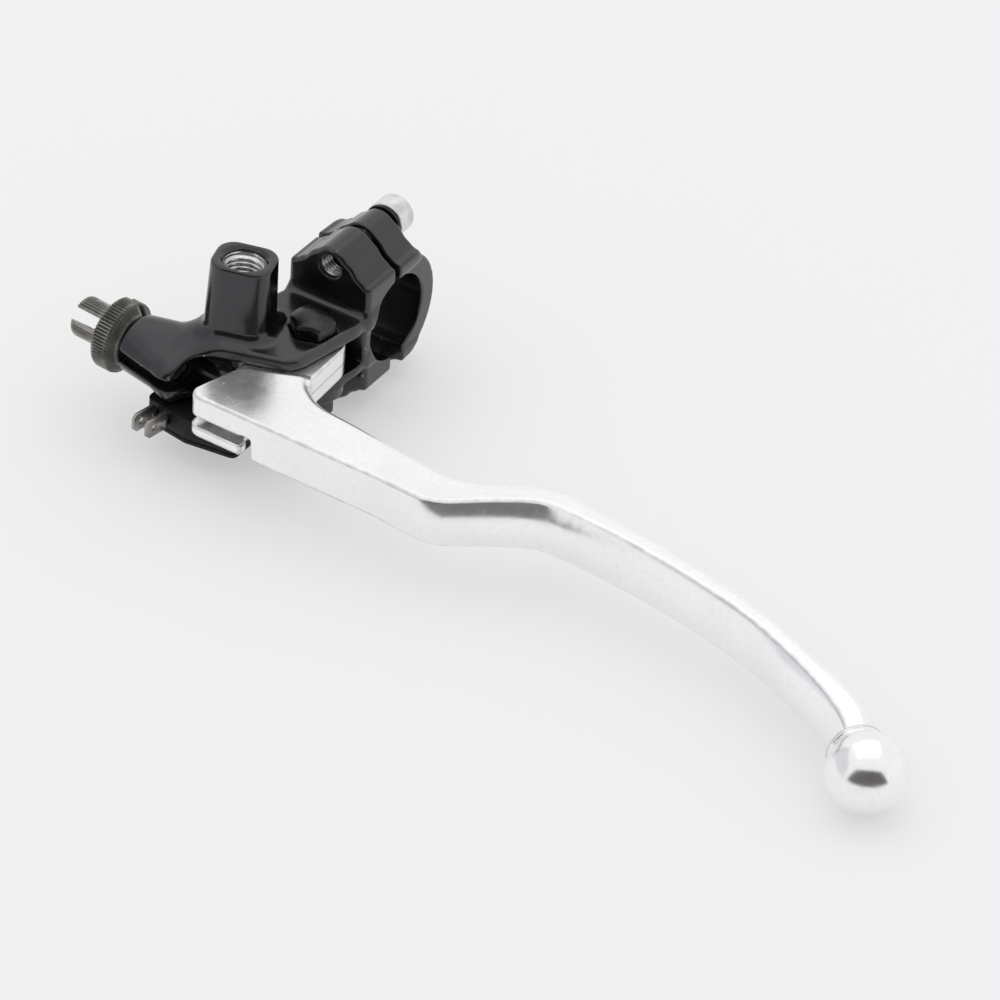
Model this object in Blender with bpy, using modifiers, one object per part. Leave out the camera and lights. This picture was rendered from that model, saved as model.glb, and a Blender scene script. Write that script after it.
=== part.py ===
"""Motorcycle clutch lever assembly: perch, lever, cable adjuster and safety switch.

Frame: the origin is the centre of the handlebar clamp's bore. +X runs along the
handlebar towards the lever's ball end, -Y points forward, away from the rider,
and +Z is up. Sizes below are in millimetres; at() turns them into metres.
"""

from math import cos, pi, radians, sin, tan

import bmesh
import bpy
from mathutils import Matrix, Vector

MM = 0.001
GAP = 0.3                      # clearance kept between neighbouring pieces
ROUND = 40                     # sides of a large round piece
SMALL_ROUND = 24               # sides of a small one

# Handlebar clamp
BAR_RADIUS = 11.1              # 22.2 mm handlebar
CLAMP_HALF_WIDTH = 11.5
SPLIT_PERCH_Y = -1.4
SPLIT_CAP_UPPER_Y = 0.1
SPLIT_CAP_LOWER_Y = 3.3
CLAMP_FRONT_Y = -13.0
CAP_OUTER_RADIUS = 16.3
CAP_UPPER_LUG_Y = 9.5
CAP_LOWER_LUG_Y = 11.0
LUG_END_Z = 14.9               # height of the lugs beside their humps
LUG_TOP_Z = 22.2
CLAMP_BOLT_Z = 17.2
CLAMP_BOLT_RADIUS = 3.0
CLAMP_HEAD_RADIUS = 5.0
CLAMP_HEAD_LENGTH = 5.7
CLAMP_SOCKET_RADIUS = 2.9      # across the corners of a 5 mm hexagon
WASHER_THICKNESS = 0.8
SPOT_DEPTH = 0.2               # of the flat cut into the cap under each screw head

# Ears and the cavity between them
EAR_TOP_Z = 7.0
EAR_BOTTOM_Z = -7.5
CAVITY_TOP_Z = 3.7
CAVITY_BOTTOM_Z = -5.4

# Pivot
PIVOT_X = 3.3
PIVOT_Y = -24.2
SHOULDER_RADIUS = 4.0
BUSH_RADIUS = 5.5
PIVOT_THREAD_RADIUS = 3.0
PIVOT_BOSS_RADIUS = 8.0
PIVOT_BOSS_Z = -10.0
PIVOT_RECESS_Z = 6.3
HEAD_SEAT_RADIUS = 7.2
HEX_RADIUS = 5.77              # across the corners of a 10 mm hexagon
HEX_TURN = radians(20)
HEX_HEIGHT = 5.5
NUT_HEIGHT = 5.3

# Mirror boss
MIRROR_X = -11.5
MIRROR_Y = -31.9
MIRROR_TOP_Z = 25.4
MIRROR_LEAN = radians(3.5)     # towards the rider
MIRROR_TURN = radians(16.5)
MIRROR_DRAFT = radians(1.75)
MIRROR_SIZE = (15.0, 13.2)
MIRROR_HOLE_RADIUS = 4.45      # tapping size of an M10 x 1.25 thread
MIRROR_HOLE_DEPTH = 16.4

# Cable adjuster
ADJUSTER_AT = (-34.6, -42.8, -2.8)
ADJUSTER_YAW = radians(5.0)
ADJUSTER_BORE_RADIUS = 4.3
BARREL_RADIUS = 3.9
CABLE_RADIUS = 1.6
WHEEL_RADIUS = 9.1
WHEEL_LENGTH = 6.4
HEAD_RADIUS = 5.2
HEAD_LENGTH = 9.4
BARREL_LENGTH = 17.0
ARM_RADIUS = 7.2

# Lever
LEVER_MID_Z = -0.95
ROOT_TOP_Z = CAVITY_TOP_Z - GAP
ROOT_BOTTOM_Z = CAVITY_BOTTOM_Z + GAP
BALL_AT = (184.0, -77.5, LEVER_MID_Z)
BALL_RADIUS = 9.3
NIPPLE_AT = (10.0, -54.2)
NIPPLE_RADIUS = 4.2
EYE_RADIUS = 7.9               # of the lever's end round the pivot

# Safety switch
SWITCH_TOP_Z = -8.8
SWITCH_BOTTOM_Z = -14.5
PLUNGER_Y = -35.2
PLUNGER_Z = -2.2
PLUNGER_RADIUS = 1.8
PLUNGER_TIP_X = -5.2
SWITCH_SCREW_AT = (-6.0, -38.5)
TERMINAL_Z = -11.0
TERMINAL_ANGLE = radians(10.0)


# ---------------------------------------------------------------- tools

def at(x, y, z):
    """A place given in millimetres, in metres."""
    return Vector((x, y, z)) * MM


def clear_scene():
    for obj in list(bpy.data.objects):
        bpy.data.objects.remove(obj, do_unlink=True)


def new_collection(name):
    collection = bpy.data.collections.new(name)
    bpy.context.scene.collection.children.link(collection)
    return collection


def material(name, color, roughness, metallic):
    mat = bpy.data.materials.new(name)
    mat.use_nodes = True
    shader = mat.node_tree.nodes["Principled BSDF"]
    shader.inputs["Base Color"].default_value = (*color, 1.0)
    shader.inputs["Roughness"].default_value = roughness
    shader.inputs["Metallic"].default_value = metallic
    return mat


def object_from(name, bm, matrix=None):
    """A shape made with bmesh becomes an object in the cutters' collection."""
    mesh = bpy.data.meshes.new(name)
    bm.to_mesh(mesh)
    bm.free()
    obj = bpy.data.objects.new(name, mesh)
    if matrix:
        obj.matrix_world = matrix
    CUTTERS.objects.link(obj)
    obj.display_type = "WIRE"
    obj.hide_render = True
    return obj


def finish(obj, name, mat, smooth=radians(35)):
    """The object leaves the cutters and becomes a piece of the assembly."""
    CUTTERS.objects.unlink(obj)
    PIECES.objects.link(obj)
    obj.display_type = "TEXTURED"
    obj.hide_render = False
    obj.name = name
    obj.data.name = name
    obj.data.materials.clear()
    obj.data.materials.append(mat)
    obj.data.shade_smooth()
    obj.data.set_sharp_from_angle(angle=smooth)
    return obj


def boolean(obj, others, operation):
    for other in others:
        modifier = obj.modifiers.new(other.name, "BOOLEAN")
        modifier.operation = operation
        modifier.solver = "EXACT"
        modifier.object = other
    return obj


def cut(obj, *others):
    return boolean(obj, others, "DIFFERENCE")


def join(obj, *others):
    return boolean(obj, others, "UNION")


def facing(direction, up=(0, 0, 1)):
    """Rotation whose Z runs along direction, with Y as near to up as it can be."""
    z = Vector(direction).normalized()
    x = Vector(up).cross(z).normalized()
    return Matrix((x, z.cross(x), z)).transposed().to_4x4()


def box(name, low, high):
    bm = bmesh.new()
    bmesh.ops.create_cube(bm, size=1.0)
    size = at(*high) - at(*low)
    bmesh.ops.scale(bm, vec=size, verts=bm.verts)
    bmesh.ops.translate(bm, vec=(at(*low) + at(*high)) / 2, verts=bm.verts)
    return object_from(name, bm)


def cone(name, start, end, start_radius, end_radius, sides=SMALL_ROUND, up=(0.3, 0.2, 1)):
    start, end = at(*start), at(*end)
    bm = bmesh.new()
    bmesh.ops.create_cone(
        bm, cap_ends=True, segments=sides, radius1=start_radius * MM,
        radius2=end_radius * MM, depth=(end - start).length)
    turn = facing(end - start, up)
    return object_from(name, bm, Matrix.Translation((start + end) / 2) @ turn)


def cylinder(name, start, end, radius, sides=SMALL_ROUND):
    return cone(name, start, end, radius, radius, sides, up=(0.02, 1, 0.03))


def arc(center, radius, start, end, steps):
    """Points along an arc, with its ends; angles in degrees."""
    points = []
    for i in range(steps + 1):
        angle = radians(start + (end - start) * i / steps)
        points.append((center[0] + radius * cos(angle), center[1] + radius * sin(angle)))
    return points


def rounded(corners, steps=3):
    """Outline whose corners (x, y, radius) are replaced by arcs."""
    points = []
    for i, (x, y, radius) in enumerate(corners):
        here = Vector((x, y))
        before = Vector(corners[i - 1][:2]) - here
        after = Vector(corners[(i + 1) % len(corners)][:2]) - here
        half = before.angle(after) / 2
        if radius == 0:
            points.append((x, y))
            continue
        bisector = (before.normalized() + after.normalized()).normalized()
        center = here + bisector * radius / sin(half)
        first = here + before.normalized() * radius / tan(half) - center
        last = here + after.normalized() * radius / tan(half) - center
        swing = first.angle_signed(last)
        for k in range(steps + 1):
            points.append(tuple(center + Matrix.Rotation(-swing * k / steps, 2) @ first))
    return points


LAID_ON = {
    "Z": Matrix.Identity(4),
    "Y": Matrix(((1, 0, 0), (0, 0, -1), (0, 1, 0))).to_4x4(),
    "X": Matrix(((0, 0, 1), (1, 0, 0), (0, 1, 0))).to_4x4(),
}


def prism(name, outline, low, high, axis="Z", matrix=None):
    """A flat outline with thickness; it lies in XY, XZ or YZ and runs along axis."""
    curve = bpy.data.curves.new(name, "CURVE")
    curve.dimensions = "2D"
    curve.fill_mode = "BOTH"
    curve.extrude = (high - low) / 2 * MM
    spline = curve.splines.new("POLY")
    spline.points.add(len(outline) - 1)
    for point, (u, v) in zip(spline.points, outline):
        point.co = (u * MM, v * MM, 0, 1)
    spline.use_cyclic_u = True
    source = bpy.data.objects.new(name, curve)
    CUTTERS.objects.link(source)
    middle = {"Z": (0, 0, 1), "Y": (0, 1, 0), "X": (1, 0, 0)}[axis]
    offset = Matrix.Translation(Vector(middle) * (low + high) / 2 * MM)
    source.matrix_world = (matrix or Matrix.Identity(4)) @ offset @ LAID_ON[axis]
    bpy.context.view_layer.update()
    evaluated = source.evaluated_get(bpy.context.evaluated_depsgraph_get())
    mesh = bpy.data.meshes.new_from_object(evaluated)
    bm = bmesh.new()
    bm.from_mesh(mesh)
    bmesh.ops.remove_doubles(bm, verts=bm.verts, dist=1e-6)
    bmesh.ops.recalc_face_normals(bm, faces=bm.faces)
    matrix_world = source.matrix_world.copy()
    bpy.data.objects.remove(source)
    bpy.data.meshes.remove(mesh)
    return object_from(name, bm, matrix_world)


def turned(name, profile, matrix, steps=ROUND):
    """A profile (radius, height), outer side downwards, turned about its own Z."""
    closed = profile[0][0] > 0
    bm = bmesh.new()
    verts = [bm.verts.new(at(radius, 0, height)) for radius, height in profile]
    for a, b in zip(verts, verts[1:]):
        bm.edges.new((a, b))
    if closed:
        bm.edges.new((verts[-1], verts[0]))
    obj = object_from(name, bm, matrix)
    screw = obj.modifiers.new("Turn", "SCREW")
    screw.axis = "Z"
    screw.steps = steps
    screw.render_steps = steps
    screw.use_merge_vertices = True
    screw.merge_threshold = 0.00001
    return obj


def hull(name, points):
    """The smallest convex solid round a set of places in millimetres."""
    bm = bmesh.new()
    verts = [bm.verts.new(at(*point)) for point in points]
    made = bmesh.ops.convex_hull(bm, input=verts)
    inside = [v for v in made["geom_interior"] if isinstance(v, bmesh.types.BMVert)]
    bmesh.ops.delete(bm, geom=inside, context="VERTS")
    bmesh.ops.recalc_face_normals(bm, faces=bm.faces)
    return object_from(name, bm)


def sphere_points(center, radius, rings=6, sides=12):
    points = []
    for i in range(1, rings):
        latitude = -pi / 2 + pi * i / rings
        for k in range(sides):
            turn = 2 * pi * k / sides
            points.append((
                center[0] + radius * cos(latitude) * cos(turn),
                center[1] + radius * cos(latitude) * sin(turn),
                center[2] + radius * sin(latitude)))
    points.append((center[0], center[1], center[2] - radius))
    points.append((center[0], center[1], center[2] + radius))
    return points


def loft(name, sections):
    """A skin through sections of equally many points, closed at both ends."""
    bm = bmesh.new()
    rings = [[bm.verts.new(at(*point)) for point in section] for section in sections]
    for first, second in zip(rings, rings[1:]):
        for k in range(len(first)):
            following = (k + 1) % len(first)
            bm.faces.new((first[k], first[following], second[following], second[k]))
    bm.faces.new(rings[0])
    bm.faces.new(rings[-1])
    bmesh.ops.recalc_face_normals(bm, faces=bm.faces)
    return object_from(name, bm)


def through(values, t):
    """A smooth curve through a list of tuples; t counts along the list."""
    i = min(int(t), len(values) - 2)
    f = t - i
    p0, p1 = Vector(values[max(i - 1, 0)]), Vector(values[i])
    p2, p3 = Vector(values[i + 1]), Vector(values[min(i + 2, len(values) - 1)])
    return (p1 * 2 + (p2 - p0) * f + (p0 * 2 - p1 * 5 + p2 * 4 - p3) * f * f
            + (p1 * 3 - p0 - p2 * 3 + p3) * f ** 3) / 2


# ---------------------------------------------------------------- clamp and perch

def lug_outline(sign, foot):
    """One end of the clamp in XZ: end flats, hollow shoulders and a round hump."""
    hump = arc((0, 17.0), LUG_TOP_Z - 17.0, 40, 140, 8)
    side = [(CLAMP_HALF_WIDTH, foot), (CLAMP_HALF_WIDTH, LUG_END_Z), (10.0, LUG_END_Z + 0.2),
            (8.9, 16.1), (7.4, 17.0), (5.9, 19.0)]
    left = [(-x, z) for x, z in reversed(side)]
    outline = side + hump + left
    return [(x, z * sign) for x, z in outline]


def mirror_boss():
    """The tapered rounded square that takes the mirror, as a leaning hull."""
    lean = Matrix.Rotation(-MIRROR_LEAN, 4, "X")
    base = Matrix.Translation((MIRROR_X, MIRROR_Y, MIRROR_TOP_Z)) @ lean
    points = []
    for depth in (0.0, 20.5):
        grow = depth * tan(MIRROR_DRAFT)
        half_x = MIRROR_SIZE[0] / 2 + grow
        half_y = MIRROR_SIZE[1] / 2 + grow
        square = [(half_x, half_y, 3.6), (-half_x, half_y, 3.6),
                  (-half_x, -half_y, 3.6), (half_x, -half_y, 3.6)]
        turn = Matrix.Rotation(MIRROR_TURN, 4, "Z")
        for x, y in rounded(square):
            points.append(tuple(base @ turn @ Vector((x, y, -depth))))
    boss = hull("mirror_boss", points)
    axis = base.to_3x3() @ Vector((0, 0, 1))
    top = Vector((MIRROR_X, MIRROR_Y, MIRROR_TOP_Z))
    hole = cylinder("mirror_hole", top + axis, top - axis * MIRROR_HOLE_DEPTH, MIRROR_HOLE_RADIUS)
    chamfer = cone("mirror_chamfer", top - axis * 0.8, top + axis, 4.45, 6.2)
    return boss, hole, chamfer


def adjuster_matrix():
    """Frame of the adjuster: Z outwards along its axis, X forward, Y up."""
    outward = (-cos(ADJUSTER_YAW), sin(ADJUSTER_YAW), 0)
    return Matrix.Translation(at(*ADJUSTER_AT)) @ facing(outward)


def adjuster_arm():
    """The arm that carries the adjuster, from a disc to the hook's nose and the ears."""
    frame = adjuster_matrix()
    disc = []
    for inset, radius in ((GAP, ARM_RADIUS - 0.8), (GAP + 0.8, ARM_RADIUS), (5.0, ARM_RADIUS)):
        for x, y in arc((0, 0), radius, 0, 345, 23):
            disc.append(tuple(frame @ at(x, y, -inset) / MM))
    nose = sphere_points((-19.5, -50.5, -2.5), 3.8)
    shoulder = sphere_points((-17.0, -38.0, 0.5), 6.3)
    belly = sphere_points((-20.0, -37.0, -2.8), 5.0)
    return hull("adjuster_arm", disc + nose + shoulder + belly)


def perch_body():
    side = CLAMP_HALF_WIDTH
    upper = prism("lug_upper", lug_outline(1, 4.0), CLAMP_FRONT_Y, SPLIT_PERCH_Y, "Y")
    lower = prism("lug_lower", lug_outline(-1, 4.0), CLAMP_FRONT_Y, SPLIT_PERCH_Y, "Y")
    plate = prism("ears", rounded([
        (side, SPLIT_PERCH_Y - 1.5, 0), (side, -13.5, 0), (11.7, -17.0, 2),
        (8.2, -36.8, 3.5), (1.9, -39.9, 4), (-16.5, -46.9, 2), (-24.0, -44.0, 2),
        (-23.5, -37.5, 2), (-19.5, -30.0, 3), (-13.0, -19.0, 4), (-side, -13.5, 2),
        (-side, SPLIT_PERCH_Y - 1.5, 0)]), EAR_BOTTOM_Z, EAR_TOP_Z)
    switch_housing = box("switch_housing", (-23.6, -40.0, EAR_BOTTOM_Z), (-12.0, -30.0, 2.2))
    pivot = (PIVOT_X, PIVOT_Y)
    pivot_boss = cylinder("pivot_boss", (*pivot, PIVOT_BOSS_Z), (*pivot, -7.0), PIVOT_BOSS_RADIUS)
    boss, mirror_hole, mirror_chamfer = mirror_boss()
    body = join(plate, upper, lower, adjuster_arm(), switch_housing, pivot_boss, boss)

    cavity = prism("cavity", rounded([
        (14.0, -14.0, 0), (-2.0, -14.0, 3), (-7.0, -17.5, 3), (-8.8, -39.2, 1.5),
        (-16.8, -40.6, 1), (-17.8, -64.0, 0), (32.0, -64.0, 0), (32.0, -14.0, 0)]),
        CAVITY_BOTTOM_Z, CAVITY_TOP_Z)
    bore = cylinder("bar_bore", (-20, 0, 0), (20, 0, 0), BAR_RADIUS, ROUND)
    frame = adjuster_matrix()
    inner = frame @ at(0, 0, -26) / MM
    outer = frame @ at(0, 0, 3) / MM
    thread = cylinder("adjuster_bore", inner, outer, ADJUSTER_BORE_RADIUS)
    slot = box("cable_slot", (-40, -60, -4.0), (-15, -43.2, -1.0))
    seat = box("switch_seat", (-24.6, -60, -20), (2, -31.2, -8.5))
    pocket = box("switch_pocket", (-21.8, -38.3, -12), (-10.5, -31.7, 0.9))
    port = cylinder("plunger_port", (-12, PLUNGER_Y, PLUNGER_Z), (-6, PLUNGER_Y, PLUNGER_Z), 2.4)
    tap = cylinder("switch_tap", (*SWITCH_SCREW_AT, -12), (*SWITCH_SCREW_AT, -2), 2.3)
    head_seat = cylinder("head_seat", (*pivot, PIVOT_RECESS_Z), (*pivot, 12), HEAD_SEAT_RADIUS)
    top_hole = cylinder("ear_hole", (*pivot, 0), (*pivot, 10), SHOULDER_RADIUS + GAP)
    low_hole = cylinder("thread_hole", (*pivot, -12), (*pivot, 0), PIVOT_THREAD_RADIUS + GAP)
    taps = []
    for sign in (1, -1):
        z = CLAMP_BOLT_Z * sign
        radius = CLAMP_BOLT_RADIUS + GAP
        taps.append(cylinder(f"clamp_tap_{sign}", (0, -16, z), (0, 2, z), radius))
    cut(body, cavity, bore, thread, slot, seat, pocket, port, tap, head_seat, top_hole,
        low_hole, mirror_hole, mirror_chamfer, *taps)
    return finish(body, "perch_body", BLACK_PAINT)


def clamp_cap():
    side = CLAMP_HALF_WIDTH
    ring = cylinder("cap_ring", (-side, 0, 0), (side, 0, 0), CAP_OUTER_RADIUS, ROUND)
    level = LUG_END_Z - 0.4
    slab = box("cap_slab", (-30, -30, -level), (30, 30, level))
    split_upper = box("cap_split_upper", (-30, -30, -4), (30, SPLIT_CAP_UPPER_Y, 30))
    split_lower = box("cap_split_lower", (-30, -30, -30), (30, SPLIT_CAP_LOWER_Y, -3.9))
    upper = prism("cap_lug_upper", lug_outline(1, 12.0), -2.0, CAP_UPPER_LUG_Y, "Y")
    lower = prism("cap_lug_lower", lug_outline(-1, 12.0), -2.0, CAP_LOWER_LUG_Y, "Y")
    bore = cylinder("cap_bore", (-20, 0, 0), (20, 0, 0), BAR_RADIUS, ROUND)
    taps = []
    for sign, lug_y in ((1, CAP_UPPER_LUG_Y), (-1, CAP_LOWER_LUG_Y)):
        z = CLAMP_BOLT_Z * sign
        seat = (0, lug_y - SPOT_DEPTH, z)
        taps.append(cylinder(f"cap_hole_{sign}", (0, -3, z), (0, 20, z), CLAMP_BOLT_RADIUS + GAP))
        taps.append(cylinder(f"spot_face_{sign}", seat, (0, 25, z), CLAMP_HEAD_RADIUS + 0.6))
    boolean(ring, [slab], "INTERSECT")
    join(ring, upper, lower)
    cut(ring, split_upper, split_lower, bore, *taps)
    return finish(ring, "clamp_cap", BLACK_PAINT)


def clamp_screw(name, z, seat_y, tip_y):
    """A socket cap screw and the spring washer under its head; both lie along Y."""
    washer_seat = seat_y + GAP
    head_seat = washer_seat + WASHER_THICKNESS + GAP
    frame = Matrix.Translation(at(0, 0, z)) @ facing((0, 1, 0))
    top = head_seat + CLAMP_HEAD_LENGTH
    radius = CLAMP_BOLT_RADIUS
    screw = turned(name, [
        (0, top), (CLAMP_HEAD_RADIUS - 0.5, top), (CLAMP_HEAD_RADIUS, top - 0.5),
        (CLAMP_HEAD_RADIUS, head_seat), (radius, head_seat), (radius, tip_y + 0.8),
        (radius - 0.8, tip_y), (0, tip_y)], frame, SMALL_ROUND)
    socket = cone(f"{name}_socket", (0, top - 3.0, z), (0, top + 1, z),
                  CLAMP_SOCKET_RADIUS, CLAMP_SOCKET_RADIUS, 6)
    cut(screw, socket)
    finish(screw, name, ZINC)
    inner = radius + GAP
    washer = turned(f"{name}_washer", [
        (inner, washer_seat + WASHER_THICKNESS), (5.2, washer_seat + WASHER_THICKNESS),
        (5.2, washer_seat), (inner, washer_seat)], frame, SMALL_ROUND)
    finish(washer, name.replace("bolt", "washer"), DARK_STEEL)


# ---------------------------------------------------------------- lever and pivot

ARM_CORNER = 2.2               # radius of the rear corners along the thick arm
BLADE_CORNER = 3.6             # and along the blade that the fingers pull
BLADE_FROM_X = 55.0
BLADE_BLEND = 25.0
BLADE_SWELL = 2.4              # of the blade's front between its two edges

# Front and rear edges of the arm in plan, as pairs across it: front x, y, rear x, y,
# then the heights of its lower and upper faces.
ARM_STATIONS = [
    (-8.2, -57.4, -8.2, -49.4, -5.9, 3.9),
    (-6.4, -60.0, -6.4, -46.4, -6.8, 4.8),
    (1.1, -60.3, 1.1, -41.4, -6.8, 4.8),
    (8.4, -60.4, 8.4, -37.4, -6.8, 4.8),
    (11.4, -60.4, 11.4, -37.2, -6.8, 4.8),
    (14.0, -60.5, 14.2, -41.0, -6.8, 4.8),
    (20.0, -60.5, 20.0, -44.6, -6.8, 4.8),
    (31.0, -60.6, 31.0, -46.1, -6.8, 4.8),
    (44.0, -60.7, 45.0, -48.0, -6.9, 4.9),
    (55.5, -60.8, 56.0, -49.5, -7.0, 5.1),
    (62.0, -59.4, 62.0, -48.9, -7.2, 5.3),
    (71.0, -52.8, 67.5, -46.0, -7.5, 5.6),
    (79.5, -47.5, 76.5, -40.6, -7.8, 5.9),
    (86.0, -46.2, 85.0, -38.5, -7.9, 6.0),
    (101.5, -47.1, 101.5, -40.5, -7.9, 6.0),
    (121.7, -50.0, 122.5, -43.5, -7.9, 6.0),
    (141.0, -54.6, 143.0, -48.6, -7.8, 5.9),
    (158.0, -61.3, 161.0, -55.7, -7.5, 5.6),
    (170.3, -68.0, 174.6, -62.0, -7.2, 5.3),
    (177.8, -74.2, 182.3, -69.6, -6.6, 4.7),
]


def arm_section(station, steps=3):
    """A section with an upright front face and a back with two rounded corners."""
    front = Vector(station[0:2])
    rear = Vector(station[2:4])
    low, high = station[4], station[5]
    depth = (rear - front).length
    across = (rear - front) / depth
    blade = min(max((front.x - BLADE_FROM_X) / BLADE_BLEND, 0), 1)
    corner = ARM_CORNER + (BLADE_CORNER - ARM_CORNER) * blade
    swollen = front - across * BLADE_SWELL * blade
    section = [(*swollen, (low + high) / 2), (*front, low + 1.0), (*(front + across * 0.8), low)]
    for sign, height in ((-1, low + corner), (1, high - corner)):
        for k in range(steps + 1):
            angle = pi / 2 * (k / steps if sign > 0 else k / steps - 1)
            place = front + across * (depth - corner + corner * cos(angle))
            section.append((*place, height + corner * sin(angle)))
    section.append((*front, high))
    return section


def lever_arm():
    count = (len(ARM_STATIONS) - 1) * 2
    stations = [through(ARM_STATIONS, 0.5 * i) for i in range(count + 1)]
    arm = loft("lever", [arm_section(station) for station in stations])
    root = prism("lever_root", arc((PIVOT_X, PIVOT_Y), EYE_RADIUS, 0, 186, 16) + [
        (-4.9, -40.0), (-4.9, -54.0), (13.0, -54.0), (11.9, -37.0)], ROOT_BOTTOM_Z, ROOT_TOP_Z)
    ball = hull("lever_ball", sphere_points(BALL_AT, BALL_RADIUS, 14, 24))
    join(arm, root, ball)

    pivot = (PIVOT_X, PIVOT_Y)
    bore = cylinder("lever_bore", (*pivot, -12), (*pivot, 12), BUSH_RADIUS + GAP)
    slot = box("cable_channel", (-12, -64, -3.9), (9.4, -48.5, -1.05))
    notch = box("wire_notch", (7.9, -64, -12), (10.4, -54.0, -1.05))
    nipple = cylinder("nipple_hole", (*NIPPLE_AT, -12), (*NIPPLE_AT, 1.5), NIPPLE_RADIUS)
    cut(arm, bore, slot, nipple, notch)
    return finish(arm, "lever_arm", ALUMINIUM, radians(40))


def pivot_pieces():
    frame = Matrix.Translation(at(PIVOT_X, PIVOT_Y, 0))
    bush = turned("bush", [
        (BUSH_RADIUS, ROOT_TOP_Z - 0.2), (BUSH_RADIUS, ROOT_BOTTOM_Z + 0.2),
        (SHOULDER_RADIUS + GAP, ROOT_BOTTOM_Z + 0.2), (SHOULDER_RADIUS + GAP, ROOT_TOP_Z - 0.2)],
        frame, SMALL_ROUND)
    finish(bush, "pivot_bushing", BRONZE)

    head_seat = PIVOT_RECESS_Z + GAP
    shoulder_end = CAVITY_BOTTOM_Z + GAP
    bolt = turned("bolt", [
        (0, head_seat + 0.5), (SHOULDER_RADIUS, head_seat + 0.5), (SHOULDER_RADIUS, shoulder_end),
        (PIVOT_THREAD_RADIUS, shoulder_end), (PIVOT_THREAD_RADIUS, -18.0), (0, -18.0)],
        frame, SMALL_ROUND)
    base = (PIVOT_X, PIVOT_Y, head_seat)
    crown = (PIVOT_X, PIVOT_Y, head_seat + HEX_HEIGHT)
    turn = Matrix.Rotation(HEX_TURN, 3, "Z") @ Vector((1, 0, 0))
    head = cone("bolt_head", base, crown, HEX_RADIUS, HEX_RADIUS, 6, up=turn)
    dome = turned("bolt_dome", [
        (0, 5.2), (2.4, 5.0), (4.2, 4.4), (5.0, 4.0), (6.4, 3.1), (6.4, -1), (0, -1)],
        Matrix.Translation(at(*base)), SMALL_ROUND)
    boolean(head, [dome], "INTERSECT")
    join(bolt, head)
    finish(bolt, "pivot_bolt", BLACK_STEEL)

    washer_top = PIVOT_BOSS_Z - GAP
    inner = PIVOT_THREAD_RADIUS + GAP
    washer = turned("washer", [
        (6.0, washer_top), (6.0, washer_top - 1), (inner, washer_top - 1), (inner, washer_top)],
        frame, SMALL_ROUND)
    finish(washer, "pivot_washer", DARK_STEEL)

    nut_top = washer_top - 1 - GAP
    nut = cone("nut", (PIVOT_X, PIVOT_Y, nut_top - NUT_HEIGHT), (PIVOT_X, PIVOT_Y, nut_top),
               HEX_RADIUS, HEX_RADIUS, 6)
    hole = cylinder("nut_hole", (PIVOT_X, PIVOT_Y, -30), (PIVOT_X, PIVOT_Y, 0), inner)
    cut(nut, hole)
    finish(nut, "pivot_nut", DARK_STEEL)


# ---------------------------------------------------------------- adjuster

def radial_box(name, frame, angle, inner, outer, width, low, high):
    """A box that runs out from the frame's Z axis at an angle from its X."""
    cutter = box(name, (inner, -width / 2, low), (outer, width / 2, high))
    cutter.matrix_world = frame @ Matrix.Rotation(angle, 4, "Z")
    return cutter


def adjuster_pieces():
    frame = adjuster_matrix()
    bore = ADJUSTER_BORE_RADIUS
    wheel = turned("wheel", [
        (bore, WHEEL_LENGTH), (WHEEL_RADIUS - 0.4, WHEEL_LENGTH), (WHEEL_RADIUS, WHEEL_LENGTH - 0.4),
        (WHEEL_RADIUS, 1.9), (WHEEL_RADIUS - 1.3, 0), (bore, 0)], frame)
    notch = radial_box("wheel_notch", frame, radians(124), 0, 14, 3.0, -2, WHEEL_LENGTH + 2)
    cut(wheel, notch)
    finish(wheel, "adjuster_lock_wheel", OLIVE_METAL)

    head_low = WHEEL_LENGTH + GAP
    head_high = head_low + HEAD_LENGTH
    screw = turned("screw", [
        (CABLE_RADIUS, head_high), (HEAD_RADIUS - 0.5, head_high), (HEAD_RADIUS, head_high - 0.5),
        (HEAD_RADIUS, head_low), (BARREL_RADIUS, head_low), (BARREL_RADIUS, -BARREL_LENGTH),
        (CABLE_RADIUS, -BARREL_LENGTH)], frame)
    slot_angle = radians(42)
    fork = radial_box("screw_fork", frame, slot_angle, -8, 8, 3.6, head_low + 2, head_high + 2)
    channel = radial_box("screw_channel", frame, slot_angle, 0, 8, 2.2, -BARREL_LENGTH - 2, head_high)
    cut(screw, fork, channel)
    finish(screw, "adjuster_screw", OLIVE_METAL)


# ---------------------------------------------------------------- safety switch

def switch_outline():
    return rounded([
        (-24.2, -33.0, 1.5), (-24.2, -52.2, 1.5), (-12.0, -54.0, 6), (1.0, -52.2, 1.5),
        (1.0, -37.5, 1.5), (-4.5, -33.0, 1.5)])


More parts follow.
